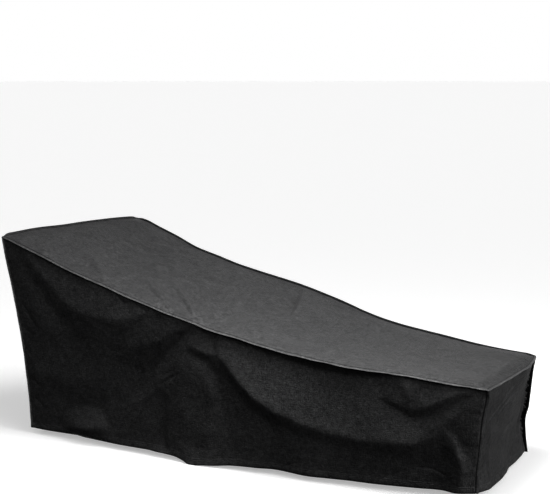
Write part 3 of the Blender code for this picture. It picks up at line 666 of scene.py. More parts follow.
def curve(rows, column, at):
    """A smooth curve through one column of a table whose first column is the place along it, with no overshoot."""
    a = np.array([r[0] for r in rows], float)
    b = np.array([r[column] for r in rows], float)
    at = np.asarray(at, float)
    h = np.diff(a)
    slope = np.diff(b) / h
    m = np.zeros_like(b)
    m[0], m[-1] = slope[0], slope[-1]
    for i in range(1, len(b) - 1):
        if slope[i - 1] * slope[i] > 0:
            w0, w1 = 2 * h[i] + h[i - 1], h[i] + 2 * h[i - 1]
            m[i] = (w0 + w1) / (w0 / slope[i - 1] + w1 / slope[i])
    k = np.clip(np.searchsorted(a, at, side="right") - 1, 0, len(h) - 1)
    u = np.clip((at - a[k]) / h[k], 0, 1)
    return ((1 + 2 * u) * (1 - u) ** 2 * b[k] + u * (1 - u) ** 2 * h[k] * m[k]
            + u * u * (3 - 2 * u) * b[k + 1] + u * u * (u - 1) * h[k] * m[k + 1])


def mix(a, b, f):
    return a + (b - a) * f


def ease(a, b, x):
    """0 below a, 1 above b, smooth between."""
    u = np.clip((np.asarray(x, float) - a) / (b - a), 0, 1)
    return u * u * (3 - 2 * u)


def unit(a):
    return a / np.maximum(np.linalg.norm(a, axis=-1, keepdims=True), 1e-12)


def places(length, at_start, at_end, steps):
    """0 to 1 along strips of these lengths, with rows at set distances from either end and even steps between."""
    length = np.atleast_1d(np.asarray(length, float))[:, None]
    first = np.array(at_start)[None] / length
    last = 1 - np.array(at_end)[None, ::-1] / length
    inner = steps - (len(at_start) - 1) - (len(at_end) - 1)
    share = np.linspace(0, 1, inner + 1)[None, 1:-1]
    middle = mix(first[:, -1:], last[:, :1], share)
    return np.concatenate((first, middle, last), axis=1)


def coons(top, hem, start, end, u, v):
    """The sheet that four curves bound. u is one place for each column, v one for each point, start and end are given there."""
    u = u[:, None, None]
    v = v[..., None]
    ruled = (1 - v) * top[:, None] + v * hem[:, None] + (1 - u) * start + u * end
    corners = ((1 - u) * (1 - v) * top[0] + u * (1 - v) * top[-1] + (1 - u) * v * hem[0] + u * v * hem[-1])
    return ruled - corners


def fold_lift(rows, p, q):
    """The lift that all the folds of a table give at the places p, q on their panel."""
    lift_all = np.zeros_like(p)
    for p0, q0, p1, q1, bow, width, lift in rows:
        dp, dq = p1 - p0, q1 - q0
        length = math.hypot(dp, dq)
        along = ((p - p0) * dp + (q - q0) * dq) / length ** 2
        held = np.clip(along, 0, 1)
        side = ((p - p0) * dq - (q - q0) * dp) / length - bow * 4 * held * (1 - held)
        past = (along - held) * length
        fade = 0.6 + 0.4 * np.sin(math.pi * held)
        lift_all += lift * fade * np.exp(-(side / width) ** 2 - (past / width) ** 2)
    return lift_all


def swag_lift(rows, s, v):
    """The side's profile at each station: tuck, ledge, under, low, and back to nothing at the hem."""
    tuck, ledge_v, ledge, under_v, under, low_v, low = (curve(rows, c, s) for c in range(1, 8))
    out = np.zeros_like(v)
    for i in range(len(s)):
        profile = ((0.0, 0.0), (0.05, tuck[i]), (ledge_v[i], ledge[i]), (under_v[i], under[i]), (low_v[i], low[i]),
                   (1.0, 0.0))
        out[i] = curve(profile, 1, v[i])
    return out


def thirds(rows, place, across):
    """A lift that a table gives at the near third, the middle and the far third of a panel."""
    near, middle, far = (curve(rows, c, place) for c in (1, 2, 3))
    out = np.zeros(np.broadcast(place, across).shape)
    flat = [np.broadcast_to(a, out.shape).ravel() for a in (near, middle, far, across)]
    knots = (0.0, 0.25, 0.5, 0.75, 1.0)
    zero = np.zeros_like(flat[0])
    height = (zero, flat[0], flat[1], flat[2], zero)
    slope = [(height[k + 1] - height[k]) / 0.25 for k in range(4)]
    m = [slope[0]] + [np.where(slope[k - 1] * slope[k] > 0, 2 * slope[k - 1] * slope[k]
                               / np.where(slope[k - 1] + slope[k] == 0, 1, slope[k - 1] + slope[k]), 0)
                      for k in (1, 2, 3)] + [slope[3]]
    got = zero.copy()
    for k in range(4):
        u = np.clip((flat[3] - knots[k]) / 0.25, 0, 1)
        inside = (flat[3] >= knots[k]) & ((flat[3] < knots[k + 1]) | (k == 3))
        value = ((1 + 2 * u) * (1 - u) ** 2 * height[k] + u * (1 - u) ** 2 * 0.25 * m[k]
                 + u * u * (3 - 2 * u) * height[k + 1] + u * u * (u - 1) * 0.25 * m[k + 1])
        got = np.where(inside, value, got)
    return got.reshape(out.shape)


def fell(q, crisp):
    """How a crease falls off, q widths from its line: a soft bell, or a pointed one with long flanks."""
    soft = np.exp(-q * q)
    sharp = np.exp(-1.5 * (np.sqrt(q * q + 0.02) - math.sqrt(0.02)))
    return mix(soft, sharp, crisp)


def crease_lift(rows, p, q):
    """The lift of one crease, whose line runs smoothly through its rows."""
    rows = np.array(rows, float)
    knots = np.concatenate(([0], np.cumsum(np.hypot(*np.diff(rows[:, :2], axis=0).T))))
    total = knots[-1]
    at = np.linspace(0, total, max(12, int(total / 0.012)))
    table = np.column_stack((knots, rows))
    line = np.stack([smooth_through(table, c, at) for c in (1, 2)], 1)
    reach = 3.2 * rows[:, 3:5].max()
    lo, hi = line.min(0) - reach, line.max(0) + reach
    near = np.nonzero((p > lo[0]) & (p < hi[0]) & (q > lo[1]) & (q < hi[1]))
    out = np.zeros_like(p)
    if not len(near[0]):
        return out
    pp, qq = p[near], q[near]
    best = np.full(pp.shape, 1e9)
    side, place, past = np.zeros_like(pp), np.zeros_like(pp), np.zeros_like(pp)
    for k in range(len(line) - 1):
        a, d = line[k], line[k + 1] - line[k]
        length = math.hypot(*d)
        along = ((pp - a[0]) * d[0] + (qq - a[1]) * d[1]) / length ** 2
        held = np.clip(along, 0, 1)
        x, y = pp - a[0] - held * d[0], qq - a[1] - held * d[1]
        far = x * x + y * y
        nearer = far < best
        best = np.where(nearer, far, best)
        cross = (d[0] * (qq - a[1]) - d[1] * (pp - a[0])) / length
        side = np.where(nearer, cross, side)
        place = np.where(nearer, mix(at[k], at[k + 1], held), place)
        past = np.where(nearer, np.abs(along - held) * length, past)
    lift, left, right, crisp = (np.interp(place, knots, rows[:, c]) for c in (2, 3, 4, 5))
    lift = curve(np.column_stack((knots, rows[:, 2])), 1, place)
    width = np.where(side > 0, left, right)
    out[near] = lift * fell(np.sqrt(best) / width, crisp)
    return out


def smooth_through(table, column, at):
    """A smooth curve through a table's points that rounds its corners, for the way a crease runs."""
    a, b = table[:, 0], table[:, column]
    m = np.gradient(b, a)
    k = np.clip(np.searchsorted(a, at, side="right") - 1, 0, len(a) - 2)
    h = a[k + 1] - a[k]
    u = np.clip((at - a[k]) / h, 0, 1)
    return ((1 + 2 * u) * (1 - u) ** 2 * b[k] + u * (1 - u) ** 2 * h * m[k]
            + u * u * (3 - 2 * u) * b[k + 1] + u * u * (u - 1) * h * m[k + 1])


def creases_lift(tables, p, q):
    out = np.zeros_like(p)
    for rows in tables.values():
        out += crease_lift(rows, p, q)
    return out


def waves(p, q, size, seed, stretch=1.0, turn=0.0):
    """Smooth unevenness of about this size, from -1 to 1, the same each time."""
    c, s = math.cos(turn), math.sin(turn)
    x = (p * c + q * s) / (size * stretch) + 64.0
    y = (-p * s + q * c) / size + 64.0
    value = np.random.default_rng(seed).uniform(-1, 1, (256, 256))
    i, j = np.floor(x).astype(int), np.floor(y).astype(int)
    u, w = x - i, y - j
    u, w = u * u * u * (u * (u * 6 - 15) + 10), w * w * w * (w * (w * 6 - 15) + 10)
    i, j, i1, j1 = i % 256, j % 256, (i + 1) % 256, (j + 1) % 256
    return mix(mix(value[i, j], value[i1, j], u), mix(value[i, j1], value[i1, j1], u), w)


def crinkles(p, q, size, seed, stretch=1.0, turn=0.0):
    """Thin raised lines that wander, as in cloth that has been folded away: 0 to 1."""
    bend = 0.5 * size
    p2 = p + bend * waves(p, q, size * 1.7, seed + 1)
    q2 = q + bend * waves(p, q, size * 1.7, seed + 2)
    ridge = 1 - np.abs(waves(p2, q2, size, seed + 3, stretch, turn)) * 2.2
    return np.clip(ridge, 0, 1) ** 2 * ease(-0.2, 0.6, waves(p, q, size * 2.3, seed + 4))


# ---------------------------------------------------------------- the seams

S = places(2.10, AT_SEAM, AT_SEAM, STEPS_ALONG)[0]
T = places(0.79, AT_SEAM, AT_SEAM, STEPS_ACROSS)[0]

NEAR_SEAM = np.stack([mix(HEAD_X_NEAR, FOOT_X_NEAR, S), mix(HEAD_Y_NEAR, FOOT_Y_NEAR, S), curve(TOP_SEAMS, 1, S)], 1)
FAR_SEAM = np.stack([mix(HEAD_X_FAR, FOOT_X_FAR, S), mix(HEAD_Y_FAR, FOOT_Y_FAR, S), curve(TOP_SEAMS, 2, S)], 1)
HEAD_LINE = np.stack([curve(HEAD_SEAM, 1, T), mix(HEAD_Y_NEAR, HEAD_Y_FAR, T), curve(HEAD_SEAM, 2, T)], 1)
FOOT_LINE = np.stack([curve(FOOT_SEAM, 1, T), mix(FOOT_Y_NEAR, FOOT_Y_FAR, T), curve(FOOT_SEAM, 2, T)], 1)

HEM = np.full_like(S, HEM_Z)
NEAR_HEM = np.stack([mix(HEM_HEAD_X_NEAR, HEM_FOOT_X_NEAR, S), curve(SIDE_HEMS, 1, S), curve(SIDE_HEMS, 2, S)], 1)
FAR_HEM = np.stack([mix(HEM_HEAD_X_FAR, HEM_FOOT_X_FAR, S), curve(SIDE_HEMS, 3, S), HEM], 1)
HEM = np.full_like(T, HEM_Z)
HEAD_HEM = np.stack([mix(HEM_HEAD_X_NEAR, HEM_HEAD_X_FAR, T) - curve(END_HEMS, 1, T),
                     mix(HEM_HEAD_Y_NEAR, HEM_HEAD_Y_FAR, T), HEM], 1)
FOOT_HEM = np.stack([mix(HEM_FOOT_X_NEAR, HEM_FOOT_X_FAR, T) + curve(END_HEMS, 2, T),
                     mix(HEM_FOOT_Y_NEAR, HEM_FOOT_Y_FAR, T), HEM], 1)


def upright(rows, cx, cy, top_z, v):
    return np.stack([curve(rows, cx, v), curve(rows, cy, v), mix(top_z, HEM_Z, v)], -1)


def head_near(v):
    return upright(UPRIGHTS_HEAD, 1, 2, TOP_SEAMS[0][1], v)


def head_far(v):
    return upright(UPRIGHTS_HEAD, 3, 4, TOP_SEAMS[0][2], v)


def foot_near(v):
    return upright(UPRIGHTS_FOOT, 1, 2, TOP_SEAMS[-1][1], v)


def foot_far(v):
    return upright(UPRIGHTS_FOOT, 3, 4, TOP_SEAMS[-1][2], v)


def drop(top, hem):
    """The rows of a hanging panel, column by column."""
    return places(np.linalg.norm(top - hem, axis=1), AT_SEAM, AT_HEM, STEPS_DOWN)


# ---------------------------------------------------------------- the panels' sheets


def held(p, q, edge_p=0.04, edge_q=0.03, loose_end=False):
    """How free the cloth is to lift: nothing at the seams, all of it a little way in."""
    free_p = ease(0, edge_p, p) * ease(0, edge_p, 1 - p)
    free_q = ease(0, edge_q, q) * (1 if loose_end else ease(0, edge_q, 1 - q))
    return free_p * free_q


def pucker_lift(name, edges):
    """Small folds that start at a seam and die out into the cloth. edges: (along, into, per_metre, seed step)."""
    seed, *_, longest, deepest = PUCKERS[name]
    total = 0
    for step, (along, into, per_metre) in enumerate(edges):
        rng = np.random.default_rng(seed * 100 + step)
        lo, hi = float(along.min()), float(along.max())
        count = int(per_metre * (hi - lo))
        here = into < longest * 1.25
        out = np.zeros_like(along)
        a, d = along[here], into[here]
        got = np.zeros_like(a)
        for k in range(count):
            at = rng.uniform(lo, hi)
            length = longest * rng.uniform(0.18, 1.0) ** 1.6 + 0.008
            width = rng.uniform(0.0030, 0.0065) * (0.7 + length / longest)
            lean = rng.normal(0, 0.45)
            depth = deepest * rng.uniform(0.25, 1.0) * (1 if rng.random() < 0.45 else -1)
            off = (a - at - lean * d) / (width * (1 + d / length))
            got += depth * np.exp(-off * off) * np.exp(-(d / length) ** 2 * 1.6) * (1 - ease(length * 0.6, length * 1.2, d))
        out[here] = got * ease(0.0, 0.010, d)
        total = total + out
    return total


def loose(p, q, seed, broad, fine):
    """The cloth's own unevenness, away from its edges."""
    out = broad * (0.9 * waves(p, q, 0.17, seed, 1.5, 0.5) + 0.5 * waves(p, q, 0.085, seed + 10, 1.6, -0.4))
    out += fine * (1.1 * crinkles(p, q, 0.055, seed + 20, 1.8, 0.35) - 1.0 * crinkles(p, q, 0.047, seed + 30, 1.8, -0.55)
                   + 0.35 * waves(p, q, 0.022, seed + 40) + 0.15 * waves(p, q, 0.011, seed + 50))
    return out


def spread(values, weights, reach, step):
    """The values of a lattice, blurred over this reach, leaving out places of no weight."""
    taps = np.arange(-int(3 * reach / step) - 1, int(3 * reach / step) + 2)
    bell = np.exp(-0.5 * (taps * step / reach) ** 2)
    bell /= bell.sum()
    both = [values * weights, weights.astype(float)]
    for k in range(2):
        for axis in (0, 1):
            wide = np.pad(both[k], [(len(taps), len(taps)) if a == axis else (0, 0) for a in (0, 1)])
            both[k] = sum(f * np.take(wide, np.arange(values.shape[axis]) + len(taps) + t, axis=axis)
                          for f, t in zip(bell, taps))
    return both[0] / np.maximum(both[1], 1e-6)


def lines_out(lines, rim, p, q, step=0.004):
    """How far out the cloth stands at p, q: straight between the lines and the rim, with rounded turns."""
    spots = [(x, z, out, 0.3) for x, z, out in rim]
    for soft, rows in lines.values():
        rows = np.array(rows)
        along = np.concatenate(([0], np.cumsum(np.hypot(*np.diff(rows[:, :2], axis=0).T))))
        at = np.linspace(0, along[-1], max(2, int(round(along[-1] / 0.013)) + 1))
        spots += [(*(float(np.interp(a, along, rows[:, c])) for c in range(3)), soft) for a in at]
    made = delaunay_2d_cdt([Vector(s[:2]) for s in spots], [], [], 0, 1e-5)
    where = np.array([tuple(v) for v in made[0]])
    held_by = np.array([spots[o[0]][2:] for o in made[3]])
    lo = np.array((p.min(), q.min())) - step
    count = np.ceil((np.array((p.max(), q.max())) + step - lo) / step).astype(int) + 1
    out, soft = np.zeros(count), np.zeros(count)
    inside = np.zeros(count)
    for tri in made[2]:
        a, b, c = (where[k] for k in tri)
        area = (b[0] - a[0]) * (c[1] - a[1]) - (c[0] - a[0]) * (b[1] - a[1])
        if abs(area) < 1e-9:
            continue
        first = np.maximum(np.floor((np.minimum(np.minimum(a, b), c) - lo) / step).astype(int), 0)
        last = np.minimum(np.ceil((np.maximum(np.maximum(a, b), c) - lo) / step).astype(int) + 1, count)
        x = lo[0] + step * np.arange(first[0], last[0])[:, None]
        y = lo[1] + step * np.arange(first[1], last[1])[None]
        wb = ((x - a[0]) * (c[1] - a[1]) - (c[0] - a[0]) * (y - a[1])) / area
        wc = ((b[0] - a[0]) * (y - a[1]) - (x - a[0]) * (b[1] - a[1])) / area
        hit = (wb >= -1e-6) & (wc >= -1e-6) & (wb + wc <= 1 + 1e-6)
        box = (slice(first[0], last[0]), slice(first[1], last[1]))
        values = np.tensordot(np.stack((1 - wb - wc, wb, wc), -1), held_by[list(tri)], axes=(2, 0))
        out[box] = np.where(hit, values[..., 0], out[box])
        soft[box] = np.where(hit, values[..., 1], soft[box])
        inside[box] = np.where(hit, 1, inside[box])
    soft = np.clip(spread(soft, inside, 0.012, step), 0, 1)
    crisp, middling, smooth = (spread(out, inside, reach, step) for reach in (0.0045, 0.011, 0.026))
    out = np.where(soft < 0.5, mix(crisp, middling, soft * 2), mix(middling, smooth, soft * 2 - 1))
    i, j = (p - lo[0]) / step, (q - lo[1]) / step
    i0, j0 = np.clip(i.astype(int), 0, count[0] - 2), np.clip(j.astype(int), 0, count[1] - 2)
    u, w = i - i0, j - j0
    return mix(mix(out[i0, j0], out[i0 + 1, j0], u), mix(out[i0, j0 + 1], out[i0 + 1, j0 + 1], u), w)


def hem_lift(up):
    """The turned hem flares a little, and its edge rounds under. up is the distance from the edge."""
    return 0.0020 * (1 - ease(0.0, HEM_BAND + 0.004, up)) - 0.0036 * (1 - ease(0.0, 0.0062, up))


def side_panel(name, seam, hem, start, end, shape, folds, creases, seed, outward):
    v = drop(seam, hem)
    s = S[:, None] + 0 * v
    sheet = coons(seam, hem, start(v), end(v), S, v)
    p, q = sheet[..., 0].copy(), sheet[..., 2].copy()
    down = v * np.linalg.norm(seam - hem, axis=1)[:, None]
    up = (1 - v) * np.linalg.norm(seam - hem, axis=1)[:, None]
    to_head = s * np.linalg.norm(np.ptp(seam, axis=0))
    to_foot = (1 - s) * np.linalg.norm(np.ptp(seam, axis=0))
    free = ease(0, 0.006, to_head) * ease(0, 0.006, to_foot) * ease(0, 0.010, down)
    if isinstance(shape, dict):
        wall = mix(seam[0, 1], seam[-1, 1], (p - seam[0, 0]) / (seam[-1, 0] - seam[0, 0]))
        plain = outward * (sheet[..., 1] - wall)
        rim = [(p[i, j], q[i, j], plain[i, j]) for j in (0, -1) for i in range(0, len(S), 5)]
        rim += [(p[i, j], q[i, j], plain[i, j]) for i in (0, -1) for j in range(5, v.shape[1] - 3, 5)]
        out = (lines_out(shape, rim, p, q) - plain) * free * ease(0, 0.012, up)
    else:
        out = swag_lift(shape, S, v)
    out += fold_lift(folds, p, q) * held(s, v, 0.02, 0.05, True)
    edge = ease(0, 0.03, to_head) * ease(0, 0.03, to_foot) * ease(0, 0.03, down)
    out += creases_lift(creases, p, q) * free
    out += loose(p, q, seed, 0.0022, 0.0009) * edge
    out += hem_lift(up)
    _, top, head, foot, _, _ = PUCKERS[name]
    out += pucker_lift(name, ((p, down, top), (q, to_head, head), (q, to_foot, foot)))
    sheet[..., 1] += outward * out
    return sheet, np.stack((p, q), -1), v


def top_panel():
    v = T[None] + 0 * S[:, None]
    s = S[:, None] + 0 * v
    sheet = coons(NEAR_SEAM, FAR_SEAM, HEAD_LINE[None] + 0 * v[..., None], FOOT_LINE[None] + 0 * v[..., None], S, v)
    p, q = sheet[..., 0].copy(), sheet[..., 1].copy()
    up = thirds(TOP_SAG, s, v)
    up += fold_lift(TOP_FOLDS, p, q) * held(s, v, 0.03, 0.06)
    near, far = v * 0.79, (1 - v) * 0.79
    head, foot = s * 2.1, (1 - s) * 2.1
    edge = ease(0, 0.03, near) * ease(0, 0.03, far) * ease(0, 0.03, head) * ease(0, 0.03, foot)
    free = ease(0, 0.008, near) * ease(0, 0.008, far) * ease(0, 0.008, head) * ease(0, 0.008, foot)
    up += creases_lift(TOP_CREASES, p, q) * free
    up += loose(p, q, 300, 0.0016, 0.0009) * edge
    near_rise, foot_rise = curve(TOP_ROLL, 1, s), curve(TOP_ROLL_FOOT, 1, v)
    inside = (1 - np.exp(-far / 0.050)) * (1 - np.exp(-head / 0.030))
    up += near_rise * (1 - np.exp(-near / 0.010)) * inside * ease(0, 0.05, foot)
    up += foot_rise * (1 - np.exp(-foot / 0.045)) * inside * ease(0, 0.05, near) * (1 - ease(0.1, 0.9, foot))
    _, along, at_head, at_foot, _, _ = PUCKERS["top_panel"]
    up += pucker_lift("top_panel", ((p, near, along), (p, far, along), (q, head, at_head), (q, foot, at_foot)))
    sheet[..., 2] += up
    arc = np.concatenate(([0], np.cumsum(np.linalg.norm(np.diff(sheet[:, STEPS_ACROSS // 2], axis=0), axis=1))))
    return sheet, np.stack((arc[:, None] + 0 * v, q), -1), v


def bridges(q, into):
    """Short folds like teeth that run in from a seam which is drawn up tight: 1 on their tops."""
    rng = np.random.default_rng(77)
    bridge = np.zeros_like(q)
    for spot in np.arange(0.05, 0.40, 0.0135):
        at = spot + rng.uniform(-0.005, 0.005)
        lean, thick, strong = rng.normal(0.35, 0.3), rng.uniform(0.0024, 0.0050), rng.uniform(0.3, 1.0)
        bridge = np.maximum(bridge, strong * np.exp(-((q - at - lean * into) / thick) ** 2))
    return bridge


def drawn_lift(rows, q, into):
    """A deep furrow along a seam that is drawn up tight, bridged by the short folds."""
    depth, wide, teeth = (curve(rows, c, q) for c in (1, 2, 3))
    furrow = ease(0, 0.0035, into) * (1 - ease(wide * 0.50, wide * 1.25, into))
    short = ease(0.001, 0.006, into) * (1 - ease(0.012, 0.030, into))
    return -depth * furrow * (1 - teeth * bridges(q, into) * short)


def furrow_painted_shade(rows, q, into):
    """Painted shade in the colour of the furrow's wall, as if it lay in its own shade, but for the folds that bridge
    it.
    """
    depth, _, teeth = (curve(rows, c, q) for c in (1, 2, 3))
    wall = 1 - ease(0.0040, 0.0080, into)
    return 1 - 0.88 * ease(0.003, 0.006, depth) * wall * (1 - teeth * bridges(q, into) * ease(0.0, 0.002, into))


def end_panel(name, seam, hem, start, end, bow, folds, creases, seed, outward, drawn_in=None):
    v = drop(seam, hem)
    t = T[:, None] + 0 * v
    sheet = coons(seam, hem, start(v), end(v), T, v)
    p, q = sheet[..., 1].copy(), sheet[..., 2].copy()
    out = thirds(bow, v, t)
    out += fold_lift(folds, p, q) * held(t, v, 0.08, 0.08, True)
    down = v * np.linalg.norm(seam - hem, axis=1)[:, None]
    wide = 0.75
    near, far = t * wide, (1 - t) * wide
    edge = ease(0, 0.03, near) * ease(0, 0.03, far) * ease(0, 0.03, down)
    free = ease(0, 0.006, near) * ease(0, 0.006, far) * ease(0, 0.010, down)
    out += creases_lift(creases, p, q) * free
    out += loose(p, q, seed, 0.0022, 0.0009) * edge
    out += hem_lift((1 - v) * np.linalg.norm(seam - hem, axis=1)[:, None])
    if drawn_in:
        out += drawn_lift(drawn_in, q, far)
    _, top, at_near, at_far, _, _ = PUCKERS[name]
    out += pucker_lift(name, ((p, down, top), (q, near, at_near), (q, far, at_far)))
    sheet[..., 0] += outward * out
    return sheet, np.stack((p, q), -1), v


# ---------------------------------------------------------------- sheets to pieces


def corner_way(seam_a, seam_b, tip):
    """Three turned edges meet at a corner of the top, so all three stand along the same way there."""
    signs = {"near": (0, -1), "far": (0, 1), "head": (-1, 0), "foot": (1, 0)}
    tilt = (-0.20, -0.45)[tip] if "near" in seam_a + seam_b else (0.12, 0.75)[tip]
    x = y = 0
    for seam in (seam_a, seam_b):
        for word in seam.split("_"):
            if word in signs:
                x, y = (signs[word][0] or x), (signs[word][1] or y)
    return unit(np.array((0.66 * x, 0.66 * y, tilt)))


def rim_walk(nu, nv, edges):
    """The grid's places along its sewn edges, in order, each with the seam that it lies on."""
    walk = [(0, j, 0) for j in range(nv - 1, 0, -1)]
    walk += [(i, 0, 1) for i in range(nu - 1)]
    walk += [(nu - 1, j, 2) for j in range(nv - 1)]
    if edges[3]:
        walk += [(i, nv - 1, 3) for i in range(nu - 1, 0, -1)]
    else:
        walk += [(nu - 1, nv - 1, 2)]
    return walk


def rim_ways(sheet, walk, edges, tip):
    """Which way the turned edge stands at each place of the walk. It wavers a little, alike on both panels of a seam."""
    nu, nv = sheet.shape[:2]
    corners = {(0, 0): (0, 1), (nu - 1, 0): (1, 2), (nu - 1, nv - 1): (2, 3), (0, nv - 1): (3, 0)}
    spots = [(sheet[c], corner_way(edges[a], edges[b], tip)) for c, (a, b) in corners.items() if edges[a] and edges[b]]
    ways = []
    for i, j, edge in walk:
        here = sheet[i, j]
        way = unit(np.array(FLANGE_WAY[edges[edge]][tip]))
        x, y, z = here
        level = np.array((0.0, 0.0, 1.0)) if edges[edge].endswith("_top") else np.array((way[1], -way[0], 0.0))
        wave = math.sin(x * 23.0 + y * 31.0 + z * 37.0) + 0.6 * math.sin(x * 61.0 - y * 47.0 + z * 71.0 + 1.3)
        way = unit(way + (0.07, 0.16)[tip] * wave * level)
        for spot, corner in spots:
            near = 1 - ease(0.0, 0.040, np.linalg.norm(here - spot))
            if near > 0:
                way = unit(mix(way, corner, near))
        ways.append(way)
    return np.array(ways)


def vertex_normals(points, quads):
    a, b, c, d = (points[quads[:, k]] for k in range(4))
    face = np.cross(c - a, d - b)
    total = np.zeros_like(points)
    for k in range(4):
        np.add.at(total, quads[:, k], face)
    n = unit(total)
    flat = unit(face)
    lean = np.zeros(len(points))
    count = np.zeros(len(points))
    for k in range(4):
        np.add.at(lean, quads[:, k], np.abs((flat * n[quads[:, k]]).sum(1)))
        np.add.at(count, quads[:, k], 1)
    return n, np.clip(lean / np.maximum(count, 1), 0.6, 1)


def layout(nu, nv, walk, rings, closed):
    """Vertex numbers: grid first, then ring by ring. Returns quads, and the loop round the open edge."""
    number = np.arange(nu * nv).reshape(nu, nv)
    n = len(walk)
    ring = [np.array([number[i, j] for i, j, _ in walk])]
    for r in range(rings):
        ring.append(nu * nv + r * n + np.arange(n))
    quads = [np.stack((number[:-1, :-1], number[1:, :-1], number[1:, 1:], number[:-1, 1:]), -1).reshape(-1, 4)]
    k = np.arange(n if closed else n - 1)
    for r in range(rings):
        quads.append(np.stack((ring[r][k], ring[r + 1][k], ring[r + 1][(k + 1) % n], ring[r][(k + 1) % n]), 1))
    if closed:
        loop = list(ring[-1])
    else:
        loop = list(ring[-1])
        loop += [ring[r][-1] for r in range(rings - 1, 0, -1)]
        loop += [number[i, nv - 1] for i in range(nu - 1, -1, -1)]
        loop += [ring[r][0] for r in range(1, rings)]
    return np.concatenate(quads), np.array(loop), number, ring


def seam_painted_light(walk, edges, tip):
    """The painted light and shade of the turned edge all round a panel."""
    return np.array([SEAM_PAINTED_LIGHT[edges[edge]][tip] for _, _, edge in walk])


